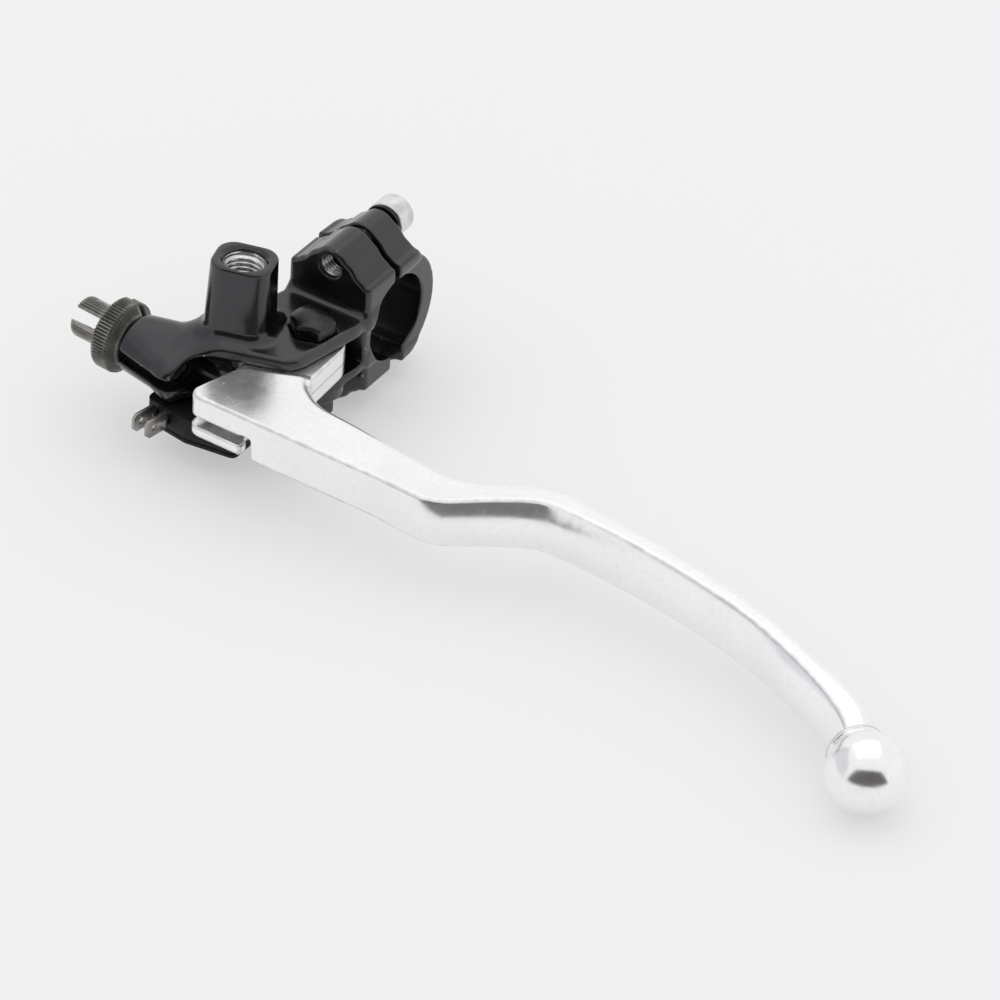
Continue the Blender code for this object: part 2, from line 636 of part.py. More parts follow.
def switch_pieces():
    outline = switch_outline()
    body = prism("switch", outline, SWITCH_BOTTOM_Z, SWITCH_TOP_Z)
    tower = box("switch_tower", (-21.5, -38.0, SWITCH_TOP_Z - 2), (-10.8, -32.0, 0.6))
    hollow = box("switch_hollow", (-22.7, -51.0, -20), (-11.6, -33.0, -10.0))
    tower_hollow = box("tower_hollow", (-20.3, -37.2, -11), (-12.0, -32.8, -0.1))
    place = (PLUNGER_Y, PLUNGER_Z)
    port = cylinder("body_port", (-14, *place), (-6, *place), PLUNGER_RADIUS + GAP)
    x, y = SWITCH_SCREW_AT
    screw_hole = cylinder("body_screw_hole", (x, y, -20), (x, y, 0), 2.3)
    slits = [box(f"terminal_slit_{i}", (left, -58, -12.9), (left + 1.4, -50, -10.3))
             for i, left in enumerate((-21.9, -18.0))]
    join(body, tower)
    cut(body, hollow, tower_hollow, port, screw_hole, *slits)
    finish(body, "switch_body", BLACK_PLASTIC)

    cover = prism("cover", outline, SWITCH_BOTTOM_Z - GAP - 1, SWITCH_BOTTOM_Z - GAP)
    cut(cover, screw_hole)
    finish(cover, "switch_cover", BLACK_PLASTIC)

    head_top = SWITCH_BOTTOM_Z - GAP - 1 - GAP
    screw = turned("switch_bolt", [
        (0, CAVITY_BOTTOM_Z - 0.4), (2.0, CAVITY_BOTTOM_Z - 0.4), (2.0, head_top), (3.5, head_top),
        (3.5, head_top - 1.5), (2.8, head_top - 2.1), (0, head_top - 2.1)],
        Matrix.Translation(at(x, y, 0)), SMALL_ROUND)
    cross = [box("drive_1", (x - 1.8, y - 0.4, head_top - 4), (x + 1.8, y + 0.4, head_top - 1.1)),
             box("drive_2", (x - 0.4, y - 1.8, head_top - 4), (x + 0.4, y + 1.8, head_top - 1.0))]
    cut(screw, *cross)
    finish(screw, "switch_screw", ZINC)

    rod = cylinder("rod", (-16.0, *place), (PLUNGER_TIP_X, *place), PLUNGER_RADIUS)
    leg = box("plunger_leg", (-16.5, -36.9, -12.6), (-14.9, -33.5, -0.6))
    reach = box("plunger_reach", (-16.4, -46.0, -12.5), (-15.0, -35.0, -11.0))
    join(rod, leg, reach)
    finish(rod, "switch_plunger", NYLON)

    bridge = box("bridge", (-22.1, -46.0, -13.4), (-14.9, -44.0, -12.9))
    finish(bridge, "switch_contact", COPPER)


def switch_spring():
    """The plunger's return spring, a coil of wire along X."""
    turns, steps, length, radius = 3, 14, 3.0, 1.35
    curve = bpy.data.curves.new("spring", "CURVE")
    curve.dimensions = "3D"
    curve.bevel_depth = 0.22 * MM
    curve.bevel_resolution = 2
    curve.use_fill_caps = True
    spline = curve.splines.new("POLY")
    count = turns * steps
    spline.points.add(count)
    for i in range(count + 1):
        angle = 2 * pi * i / steps
        x = -19.9 + length * i / count
        y = PLUNGER_Y + radius * cos(angle)
        z = PLUNGER_Z + radius * sin(angle)
        spline.points[i].co = (*at(x, y, z), 1)
    spring = bpy.data.objects.new("switch_spring", curve)
    PIECES.objects.link(spring)
    curve.materials.append(ZINC)


def terminal(name, root_x, root_y, tip_length):
    """A spade with a chamfered end and a latch hole, on a narrow stem in the housing."""
    tip = tip_length
    z = TERMINAL_Z
    blade = prism(name, [
        (-0.3, z - 2.4), (tip - 0.9, z - 2.4), (tip, z - 1.5), (tip, z + 1.5), (tip - 0.9, z + 2.4),
        (-0.3, z + 2.4)], -0.4, 0.4, "X")
    turn = Matrix.Rotation(pi + TERMINAL_ANGLE * -1, 4, "Z")
    blade.matrix_world = Matrix.Translation(at(root_x, root_y, 0)) @ turn @ blade.matrix_world
    stem = box(f"{name}_stem", (root_x - 0.4, root_y - 0.6, -12.6), (root_x + 0.4, -44.2, -10.6))
    reach = turn @ at(0, tip - 2.6, 0) / MM
    center = (root_x + reach[0], root_y + reach[1], z)
    aside = turn.to_3x3() @ Vector((3, 0, 0))
    latch = cylinder(f"{name}_latch", Vector(center) - aside, Vector(center) + aside, 0.8, 12)
    join(blade, stem)
    cut(blade, latch)
    finish(blade, name, TINNED_BRASS)


clear_scene()
PIECES = new_collection("clutch_lever_assembly")
CUTTERS = new_collection("cutters")

BLACK_PAINT = material("black_paint", (0.055, 0.055, 0.058), 0.42, 0.0)
ALUMINIUM = material("aluminium", (0.80, 0.79, 0.77), 0.24, 1.0)
ZINC = material("zinc", (0.66, 0.66, 0.64), 0.35, 1.0)
DARK_STEEL = material("dark_steel", (0.12, 0.12, 0.12), 0.40, 1.0)
BLACK_STEEL = material("black_steel", (0.03, 0.03, 0.03), 0.45, 0.6)
BRONZE = material("bronze", (0.50, 0.36, 0.18), 0.45, 1.0)
OLIVE_METAL = material("olive_metal", (0.16, 0.155, 0.13), 0.45, 0.9)
BLACK_PLASTIC = material("black_plastic", (0.03, 0.03, 0.032), 0.55, 0.0)
NYLON = material("nylon", (0.75, 0.73, 0.66), 0.50, 0.0)
COPPER = material("copper", (0.75, 0.42, 0.25), 0.35, 1.0)
TINNED_BRASS = material("tinned_brass", (0.30, 0.29, 0.27), 0.40, 1.0)

perch_body()
clamp_cap()
clamp_screw("clamp_bolt_upper", CLAMP_BOLT_Z, CAP_UPPER_LUG_Y - SPOT_DEPTH, -7.5)
clamp_screw("clamp_bolt_lower", -CLAMP_BOLT_Z, CAP_LOWER_LUG_Y - SPOT_DEPTH, -6.0)
lever_arm()
pivot_pieces()
adjuster_pieces()
switch_pieces()
switch_spring()
terminal("switch_terminal_outer", -21.2, -54.0, 6.6)
terminal("switch_terminal_inner", -17.3, -54.6, 6.4)
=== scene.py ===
"""Motorcycle clutch lever assembly lying on a pale studio floor.

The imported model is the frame. The castings are shaped here as distance fields, with
fillets and rounded edges, and skinned; the screws, the knurled adjuster and the switch
get finer shapes; every piece has a procedural material. Sizes are in millimetres in the
object's frame, and MM turns them into metres.
"""

from math import cos, pi, radians, sin, sqrt, tan

import bmesh
import bpy
import numpy as np
from mathutils import Matrix, Vector


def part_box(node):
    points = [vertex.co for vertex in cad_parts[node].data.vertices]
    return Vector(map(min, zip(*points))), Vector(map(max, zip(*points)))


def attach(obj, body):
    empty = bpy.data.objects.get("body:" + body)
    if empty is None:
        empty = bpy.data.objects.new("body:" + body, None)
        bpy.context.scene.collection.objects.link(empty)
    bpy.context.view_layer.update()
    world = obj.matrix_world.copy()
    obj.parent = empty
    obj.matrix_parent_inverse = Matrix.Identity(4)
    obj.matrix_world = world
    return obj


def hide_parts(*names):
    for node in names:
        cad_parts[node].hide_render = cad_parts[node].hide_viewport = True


MM = 0.001

# Handlebar clamp
BAR_RADIUS = 11.1
CLAMP_HALF_WIDTH = 11.5
SPLIT_PERCH_Y = -1.4
SPLIT_CAP_UPPER_Y = 0.1
SPLIT_CAP_LOWER_Y = 3.3
CLAMP_FRONT_Y = -13.0
CAP_OUTER_RADIUS = 16.3
CAP_UPPER_LUG_Y = 9.5
CAP_LOWER_LUG_Y = 11.0
LUG_END_Z = 14.9
LUG_TOP_Z = 22.2
LUG_SOFTNESS = 0.45
HUMP_Z = 17.0                  # centre of the round hump on each end of the clamp
HUMP_RADIUS = LUG_TOP_Z - HUMP_Z
CAP_LUG_DRAFT = 0.055          # the cap's lugs narrow this much for each millimetre back
SPLIT_EDGE = 0.35
BORE_EDGE = 0.4
CLAMP_BOLT_Z = 17.2
M6_RADIUS = 3.0
M6_PITCH = 1.0
CLAMP_HEAD_RADIUS = 4.85
CLAMP_HEAD_LENGTH = 5.7
SOCKET_FLATS = 2.5             # half the width across its flats
SOCKET_DEPTH = 3.0
WASHER_THICKNESS = 0.8
SPOT_DEPTH = 0.2

# Ears, cavity and pivot
EAR_TOP_Z = 7.0
EAR_BOTTOM_Z = -7.5
CAVITY_TOP_Z = 3.7
CAVITY_BOTTOM_Z = -5.4
POCKET_EDGE = 3.6
PIVOT = (3.3, -24.2)
BUSH_RADIUS = 5.5
SHOULDER_RADIUS = 4.0
PIVOT_BOSS_RADIUS = 8.0
PIVOT_BOSS_Z = -10.0
PIVOT_RECESS_Z = 6.3
HEX_FLATS = 5.0                # half the width of the pivot bolt's head across its flats
HEX_TURN = radians(50)
HEX_HEIGHT = 5.3               # at the middle of its domed top
DOME_RADIUS = 9.5
GAP = 0.3                      # between parts that move on each other
NOSE_FALL = 6.3                # the ear's top drops this far towards the perch's nose
NOSE_FALL_LENGTH = 13.5
NOSE_FALL_AT = (-12.0, -40.0)  # it starts here in plan
NOSE_FALL_WAY = (0.62, 0.78)   # and goes down against this direction
FILLET_CUT_RADIUS = 7.2        # clears the pivot bolt's head from the fillet behind it

# Switch, as far as the perch makes room for it
PLUNGER_AT = (-35.2, -2.2)     # Y and Z
PLUNGER_HOLE_RADIUS = 2.4
SWITCH_SCREW_AT = (-6.0, -38.5)
SWITCH_SCREW_RADIUS = 2.3

# Mirror boss
MIRROR_AT = (-11.5, -31.9, 25.4)
MIRROR_LEAN = radians(3.5)
MIRROR_TURN = radians(16.5)
MIRROR_DRAFT = radians(1.75)
MIRROR_SIZE = (15.0, 13.2)
MIRROR_CORNER = 4.6
MIRROR_BOSS_DEPTH = 21.0
M10_RADIUS = 5.0
M10_PITCH = 1.25
MIRROR_HOLE_DEPTH = 16.4
COUNTERSINK_RADIUS = 6.0

# Cable adjuster
ADJUSTER_AT = (-34.6, -42.8, -2.8)
ADJUSTER_YAW = radians(5.0)
ADJUSTER_BORE_RADIUS = 4.3
BARREL_RADIUS = 3.9
CABLE_RADIUS = 1.6
BARREL_LENGTH = 13.5
BARREL_PITCH = 1.0
BARREL_THREAD_DEPTH = 0.35
WHEEL_RADIUS = 9.1
WHEEL_LENGTH = 6.4
WHEEL_COLLAR = 2.3             # plain length between the perch and the knurled rim
WHEEL_KNURL = (66, 0.45)       # ridges and their depth
WHEEL_SLOT_TURN = radians(124)
WHEEL_SLOT_HALF_WIDTH = 1.15
HEAD_RADIUS = 5.2
HEAD_LENGTH = 9.4
HEAD_KNURL = (40, 0.38)
HEAD_SLOT_TURN = radians(42)
HEAD_SLOT_HALF_WIDTH = 1.1
FORK_HALF_WIDTH = 1.5
FORK_OFFSET = 0.35
ARM_RADIUS = 7.2
ARM_SOFTNESS = 1.4

# Lever
LEVER_MID_Z = -0.95
ROOT_TOP_Z = CAVITY_TOP_Z - GAP
ROOT_BOTTOM_Z = CAVITY_BOTTOM_Z + GAP
BALL_AT = (184.0, -77.5, LEVER_MID_Z)
BALL_RADIUS = 9.3
NIPPLE_AT = (10.0, -54.2)
NIPPLE_RADIUS = 4.2
EYE_RADIUS = 7.9
BLADE_HALF_DEPTH = 6.9
LEVER_END = (-7.2, -57.0)
END_SLANT = 0.3                # the root's end leans away towards the rear
END_CORNER = 4.0
FRONT_LEAN = 5.2               # the blade's front swells out below its top edge
FRONT_CURVE = 2.4              # and draws in again towards its lower one
NECK = (0.74, -0.673)          # the way the arm runs into the ball
COLLAR_AT = 7.9
COLLAR_RADIUS = 6.8
COLLAR_HALF_WIDTH = 0.7
# The lever's finish, in metres
POLISH_X = (0.04, 0.16)        # the polish gets finer between these
PARTING_LINE_X = 0.0135        # the mould's line ends here
PARTING_LINE_Y = -0.05

# Skins
BOX_MARGIN = 1.0               # room round a node's box for its field
SOLID_EDGE = 0.22              # how far the edges of refined parts are rounded
STRIP_EDGE = 0.07

# Studio, in metres apart from the floor
FLOOR_HALF_WIDTH = 6000
FLOOR_GAP = 0.05
# the floor's own glow, painted light that lightens its shadows
FLOOR_PAINTED_GLOW = 0.385
SKY_STRENGTH = 0.935
LAMP_AT = (-0.25, 0.35, 1.5)
LAMP_AIM = (0.06, -0.05, 0)
LAMP_SIZE = 1.8
LAMP_POWER = 2.4
CARD_AWAY = 2.4
CARD_TAPER = 0.7

# Camera
CAMERA_AT = (517.99, -831.04, 698.70)
CAMERA_AZIMUTH = radians(29.71)
CAMERA_ELEVATION = radians(37.68)
CAMERA_ROLL = radians(4.44)
CAMERA_LENS = 180
CAMERA_SENSOR = 36

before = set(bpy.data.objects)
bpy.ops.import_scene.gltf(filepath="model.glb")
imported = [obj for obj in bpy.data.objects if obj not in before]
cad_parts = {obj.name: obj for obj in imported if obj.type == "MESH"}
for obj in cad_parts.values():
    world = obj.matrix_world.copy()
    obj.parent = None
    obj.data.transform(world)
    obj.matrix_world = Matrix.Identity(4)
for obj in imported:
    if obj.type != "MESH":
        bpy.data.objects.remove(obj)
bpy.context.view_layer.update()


# ---------------------------------------------------------------- distance fields

class Grid:
    """Sample points that fill a box; x, y and z broadcast against each other."""

    def __init__(self, low, high, step):
        self.low = np.array(low, np.float32)
        self.step = step
        axes = []
        for i in range(3):
            count = int(np.ceil((high[i] - low[i]) / step)) + 1
            axes.append((low[i] + step * np.arange(count)).astype(np.float32))
        self.x, self.y, self.z = np.meshgrid(*axes, indexing="ij", sparse=True)


def polygon(u, v, outline):
    """Signed distance to a closed outline, negative inside."""
    u, v = np.broadcast_arrays(u, v)
    nearest = np.full(u.shape, 1e9, np.float32)
    inside = np.zeros(u.shape, bool)
    for (ax, ay), (bx, by) in zip(outline, outline[1:] + outline[:1]):
        ex, ey = bx - ax, by - ay
        pu, pv = u - ax, v - ay
        t = np.clip((pu * ex + pv * ey) / (ex * ex + ey * ey), 0, 1)
        nearest = np.minimum(nearest, (pu - t * ex) ** 2 + (pv - t * ey) ** 2)
        if ay != by:
            inside ^= ((ay > v) != (by > v)) & (u < ex * pv / ey + ax)
    distance = np.sqrt(nearest)
    return np.where(inside, -distance, distance)


def soften(field, amount, step):
    """Rounds the corners of a flat field and leaves its straight sides alone."""
    reach = int(3 * amount / step) + 1
    offsets = np.arange(-reach, reach + 1) * step / amount
    weights = np.exp(-0.5 * offsets ** 2)
    weights /= weights.sum()
    for axis in range(3):
        size = field.shape[axis]
        if size > 1:
            pads = [(reach, reach) if i == axis else (0, 0) for i in range(3)]
            padded = np.pad(field, pads, mode="reflect", reflect_type="odd")
            field = sum(weight * np.take(padded, range(k, k + size), axis)
                        for k, weight in enumerate(weights))
    return field.astype(np.float32)


def meet(a, b, radius=0.35):
    """What is inside both, with the edge between them rounded."""
    outside = np.hypot(np.maximum(a + radius, 0), np.maximum(b + radius, 0))
    return np.minimum(-radius, np.maximum(a, b)) + outside


def weld(a, b, radius=0.35):
    """Both together, with a fillet where they meet."""
    inside = np.hypot(np.maximum(radius - a, 0), np.maximum(radius - b, 0))
    return np.maximum(radius, np.minimum(a, b)) - inside


def carve(a, b, radius=0.35):
    """The first less the second, with the new edge rounded."""
    return meet(a, -b, radius)


def slab(w, low, high):
    return np.abs(w - (low + high) / 2) - (high - low) / 2


def block(grid, low, high, radius=0.3):
    flat = meet(slab(grid.x, low[0], high[0]), slab(grid.y, low[1], high[1]), radius)
    return meet(flat, slab(grid.z, low[2], high[2]), radius)


def wrap(grid, points):
    """The smallest convex solid round a set of places, felt only near it."""
    bm = bmesh.new()
    made = bmesh.ops.convex_hull(bm, input=[bm.verts.new(point) for point in points])
    inside = [v for v in made["geom_interior"] if isinstance(v, bmesh.types.BMVert)]
    bmesh.ops.delete(bm, geom=inside, context="VERTS")
    bmesh.ops.recalc_face_normals(bm, faces=bm.faces)
    planes = [(*face.normal, -face.normal.dot(face.verts[0].co)) for face in bm.faces]
    planes = np.array(planes, np.float32)
    bm.free()
    points = np.array(points)
    reach = 5.0
    extent = np.broadcast_shapes(grid.x.shape, grid.y.shape, grid.z.shape)
    field = np.full(extent, reach, np.float32)
    low = np.maximum(((points.min(0) - reach - grid.low) / grid.step).astype(int), 0)
    high = ((points.max(0) + reach - grid.low) / grid.step).astype(int)
    spot = tuple(slice(a, b) for a, b in zip(low, high))
    near = np.full(field[spot].shape, -1e9, np.float32)
    x, y, z = grid.x[spot[0]], grid.y[:, spot[1]], grid.z[:, :, spot[2]]
    for a, b, c, d in planes:
        near = np.maximum(near, a * x + b * y + (c * z + d))
    field[spot] = near
    return field


def ball_points(center, radius, rings=10, sides=20):
    points = []
    for i in range(1, rings):
        latitude = -pi / 2 + pi * i / rings
        for k in range(sides):
            turn = 2 * pi * k / sides
            points.append((center[0] + radius * cos(latitude) * cos(turn),
                           center[1] + radius * cos(latitude) * sin(turn),
                           center[2] + radius * sin(latitude)))
    return points


def local(grid, matrix):
    """The grid's coordinates in another frame, given as a matrix in millimetres."""
    inverse = np.array(matrix.inverted())
    return [row[0] * grid.x + row[1] * grid.y + row[2] * grid.z + row[3] for row in inverse[:3]]


def arc(center, radius, start, end, steps):
    """Points along an arc, with its ends; angles in degrees."""
    points = []
    for i in range(steps + 1):
        angle = radians(start + (end - start) * i / steps)
        points.append((center[0] + radius * cos(angle), center[1] + radius * sin(angle)))
    return points


def through(points, steps=6):
    """A smooth curve through a list of points."""
    curve = []
    for i in range(len(points) - 1):
        p0, p1 = Vector(points[max(i - 1, 0)]), Vector(points[i])
        p2, p3 = Vector(points[i + 1]), Vector(points[min(i + 2, len(points) - 1)])
        for k in range(steps):
            f = k / steps
            place = (p1 * 2 + (p2 - p0) * f + (p0 * 2 - p1 * 5 + p2 * 4 - p3) * f * f
                     + (p1 * 3 - p0 - p2 * 3 + p3) * f ** 3) / 2
            curve.append(tuple(place))
    return curve + [tuple(points[-1])]


# ---------------------------------------------------------------- skins

CORNERS = [(i, j, k) for i in (0, 1) for j in (0, 1) for k in (0, 1)]
CORNER_ALONG = (4, 2, 1)       # from a corner to its neighbour along X, Y and Z, in CORNERS
SLOPE_REACH = 0.75             # in grid steps
EDGE_REACH = 0.7               # how far round a point its edges are felt
EDGE_GAIN = 4


def sample(field, place):
    """The field between its grid points; place counts in grid steps."""
    limit = np.array(field.shape) - 2
    base = np.clip(np.floor(place).astype(int), 0, limit)
    part = place - base
    value = np.zeros(len(place))
    for corner in CORNERS:
        weight = np.prod(np.where(corner, part, 1 - part), axis=1)
        value += weight * field[tuple((base + corner).T)]
    return value


def slope(field, place):
    steps = np.eye(3) * SLOPE_REACH
    rises = [sample(field, place + step) - sample(field, place - step) for step in steps]
    return np.stack(rises, 1) / (2 * SLOPE_REACH)


def skin(field):
    """Surface of a field: places in grid steps, quads facing outwards."""
    inside = field < 0
    counts = np.array(field.shape) - 1
    some = np.zeros(counts, bool)
    every = np.ones(counts, bool)
    for i, j, k in CORNERS:
        part = inside[i:i + counts[0], j:j + counts[1], k:k + counts[2]]
        some |= part
        every &= part
    cells = np.argwhere(some & ~every)

    # Each crossed cell gets a point, at the middle of the crossings on its edges.
    values = [field[tuple((cells + corner).T)] for corner in CORNERS]
    total = np.zeros((len(cells), 3))
    hits = np.zeros(len(cells))
    for a, corner in enumerate(CORNERS):
        for axis in range(3):
            if corner[axis] == 0:
                va, vb = values[a], values[a + CORNER_ALONG[axis]]
                hit = (va < 0) != (vb < 0)
                along = np.where(hit, va / np.where(hit, va - vb, 1), 0)
                point = np.array(corner, float) + along[:, None] * np.eye(3)[axis]
                total += point * hit[:, None]
                hits += hit
    place = cells + total / hits[:, None]

    # Each crossed grid edge gets a quad, from the points of the four cells round it.
    number = np.full(counts, -1)
    number[tuple(cells.T)] = np.arange(len(cells))
    quads = []
    for axis in range(3):
        u, v = np.eye(3, dtype=int)[(axis + 1) % 3], np.eye(3, dtype=int)[(axis + 2) % 3]
        edges = np.argwhere(np.diff(inside.astype(np.int8), axis=axis) != 0)
        room = ((edges @ u > 0) & (edges @ v > 0)
                & (edges @ u < counts @ u) & (edges @ v < counts @ v))
        edges = edges[room]
        ring = [number[tuple((edges - offset).T)] for offset in (0 * u, u, u + v, v)]
        ring = np.stack(ring, 1)
        outward = inside[tuple(edges.T)]
        quads.append(np.where(outward[:, None], ring, ring[:, ::-1]))
    return place, np.concatenate(quads)


def new_object(name, data):
    made = bpy.data.objects.new(name, data)
    bpy.context.scene.collection.objects.link(made)
    return made


def casting(name, field, grid, node, body, mat):
    """Skins a field into a piece that stands for a CAD node."""
    place, quads = skin(field)
    for _ in range(2):
        rise = slope(field, place)
        steep = np.maximum((rise ** 2).sum(1), 1e-9)
        step = sample(field, place) / steep
        place = place - np.clip(step, -1, 1)[:, None] * rise
    normals = slope(field, place)
    normals /= np.maximum(np.linalg.norm(normals, axis=1), 1e-9)[:, None]
    reach = EDGE_REACH / grid.step
    around = sum(sample(field, place + sign * step)
                 for step in np.eye(3) * reach for sign in (1, -1)) / 6
    sharp = np.clip(around / EDGE_REACH * EDGE_GAIN, -1, 1)

    mesh = bpy.data.meshes.new(name)
    mesh.from_pydata(((place * grid.step + grid.low) * MM).tolist(), [], quads.tolist())
    mesh.shade_smooth()
    mesh.normals_split_custom_set_from_vertices(normals.tolist())
    edge = mesh.attributes.new("edge", "FLOAT", "POINT")
    edge.data.foreach_set("value", sharp.astype(np.float32))
    return add(name, mesh, body, mat, node)


def add(name, mesh, body, mat, node=None):
    """A mesh becomes a piece that rides on a body."""
    mesh.materials.clear()
    mesh.materials.append(mat)
    piece = new_object(name, mesh)
    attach(piece, body)
    if node:
        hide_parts(node)
    return piece


def refined(node, body, mat, width):
    """A CAD piece with its edges rounded."""
    holder = new_object("holder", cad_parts[node].data.copy())
    merge = holder.modifiers.new("merge", "WELD")
    merge.merge_threshold = 0.005 * MM
    bevel = holder.modifiers.new("bevel", "BEVEL")
    bevel.width = width * MM
    bevel.segments = 3
    bevel.angle_limit = radians(35)
    bevel.use_clamp_overlap = True
    bpy.context.view_layer.update()
    finished = holder.evaluated_get(bpy.context.evaluated_depsgraph_get())
    made = bpy.data.meshes.new_from_object(finished)
    bpy.data.objects.remove(holder)
    made.shade_smooth()
    made.set_sharp_from_angle(angle=radians(50))
    return add(f"{node}_fine", made, body, mat, node)


def facing(direction):
    """Rotation whose Z runs along a level direction, with Y upwards."""
    z = Vector(direction).normalized()
    x = Vector((0, 0, 1)).cross(z).normalized()
    return Matrix((x, z.cross(x), z)).transposed().to_4x4()


def threaded_sleeve(name, matrix, radius, pitch, length, body, mat):
    """The thread in a hole, from the matrix's origin down its Z; its back is in the wall."""
    sides, rows_per_turn = 72, 10
    depth, wall = 0.6 * pitch, 0.25
    rows = int(length / pitch * rows_per_turn)

    def ring(radii, z):
        turns = [2 * pi * k / sides for k in range(sides)]
        return [(r * cos(turn), r * sin(turn), z) for r, turn in zip(radii, turns)]

    points, faces = [], []
    for row in range(rows + 1):
        z = -length * row / rows
        fade = min(row / rows_per_turn, 1)
        waves = [(-z / pitch + k / sides) % 1.0 for k in range(sides)]
        # The ridges' tops and bottoms are cut flat.
        crests = [min(max(1.25 * (1 - abs(2 * wave - 1)) - 0.12, 0), 1) for wave in waves]
        points += ring([radius - depth * crest * fade for crest in crests], z)
    for row in (rows, 0):
        points += ring([radius + wall] * sides, -length * row / rows)
    for row in range(rows + 3):
        for k in range(sides):
            first, following = row * sides, ((row + 1) % (rows + 3)) * sides
            side = (k + 1) % sides
            faces.append((first + k, following + k, following + side, first + side))
    mesh = bpy.data.meshes.new(name)
    mesh.from_pydata([tuple((matrix @ Vector(p)) * MM) for p in points], [], faces)
    mesh.shade_smooth()
    mesh.set_sharp_from_angle(angle=radians(60))
    return add(name, mesh, body, mat)


# ---------------------------------------------------------------- materials

def new_material(name):
    mat = bpy.data.materials.new(name)
    mat.use_nodes = True
    return mat, mat.node_tree, mat.node_tree.nodes["Principled BSDF"]


def put(tree, kind, inputs=None, **settings):
    """A shader node; an input is a value or another node's output."""
    made = tree.nodes.new(kind)
    for key, value in settings.items():
        setattr(made, key, value)
    for key, value in (inputs or {}).items():
        if isinstance(value, bpy.types.NodeSocket):
            tree.links.new(value, made.inputs[key])
        else:
            made.inputs[key].default_value = value
    return made


def grain(tree, scale, detail):
    """Noise over the object, with its grains 1/scale metres wide."""
    place = put(tree, "ShaderNodeTexCoord").outputs["Object"]
    noise = put(tree, "ShaderNodeTexNoise", {"Vector": place, "Scale": scale, "Detail": detail})
    return noise.outputs["Fac"]


def remap(tree, value, low, high, to_low, to_high):
    return put(tree, "ShaderNodeMapRange", {
        "Value": value, "From Min": low, "From Max": high,
        "To Min": to_low, "To Max": to_high}).outputs[0]


def spread(tree, noise):
    """Noise with its middle values spread over 0 to 1."""
    return remap(tree, noise, 0.35, 0.65, 0.0, 1.0)


def blend_colors(tree, factor, a, b):
    mixed = put(tree, "ShaderNodeMix", data_type="RGBA")
    for socket, value in ((mixed.inputs[0], factor), (mixed.inputs[6], a), (mixed.inputs[7], b)):
        if isinstance(value, bpy.types.NodeSocket):
            tree.links.new(value, socket)
        else:
            socket.default_value = value if isinstance(value, float) else (*value, 1)
    return mixed.outputs[2]


def compute(tree, operation, a, b=0.0, clamp=False):
    made = put(tree, "ShaderNodeMath", {0: a, 1: b}, operation=operation, use_clamp=clamp)
    return made.outputs[0]


def both(tree, a, b):
    """Where two masks overlap."""
    return compute(tree, "MULTIPLY", a, b, True)


def bump(tree, shader, height, strength, distance, before=None):
    """Adds relief; distance is in metres."""
    inputs = {"Height": height, "Strength": strength, "Distance": distance}
    if before:
        inputs["Normal"] = before
    made = put(tree, "ShaderNodeBump", inputs).outputs[0]
    tree.links.new(made, shader.inputs["Normal"])
    return made


def link(tree, shader, **sockets):
    for key, value in sockets.items():
        tree.links.new(value, shader.inputs[key.replace("_", " ")])


def edge_mask(tree, low, high):
    """Where the piece has convex edges, from the casting's own attribute."""
    sharp = put(tree, "ShaderNodeAttribute", attribute_name="edge").outputs["Fac"]
    return remap(tree, sharp, low, high, 0.0, 1.0)


def black_paint():
    """Satin paint, rubbed grey along its edges and chipped to the metal there."""
    mat, tree, shader = new_material("black_paint_fine")
    cloud = grain(tree, 90, 3)
    fine = grain(tree, 1500, 3)
    specks = grain(tree, 420, 2)
    color = blend_colors(tree, spread(tree, cloud),
                         (0.0035, 0.0035, 0.004), (0.007, 0.007, 0.0075))
    rubbed = both(tree, edge_mask(tree, 0.10, 0.5), remap(tree, cloud, 0.45, 0.65, 0.0, 1.0))
    rubbed = compute(tree, "MULTIPLY", rubbed, 0.5)
    color = blend_colors(tree, rubbed, color, (0.05, 0.05, 0.052))
    chipped = both(tree, edge_mask(tree, 0.25, 0.45), remap(tree, specks, 0.71, 0.73, 0.0, 1.0))
    color = blend_colors(tree, chipped, color, (0.55, 0.55, 0.56))
    rough = compute(tree, "ADD", remap(tree, fine, 0.3, 0.7, 0.13, 0.19),
                    compute(tree, "MULTIPLY", cloud, 0.05))
    link(tree, shader, Base_Color=color, Roughness=rough, Metallic=chipped)
    shader.inputs["Specular IOR Level"].default_value = 0.75
    shader.inputs["Specular Tint"].default_value = (0.98, 0.95, 1.0, 1)
    pebbles = bump(tree, shader, fine, 0.05, 0.00004)
    bump(tree, shader, grain(tree, 700, 3), 0.05, 0.00006, pebbles)
    return mat


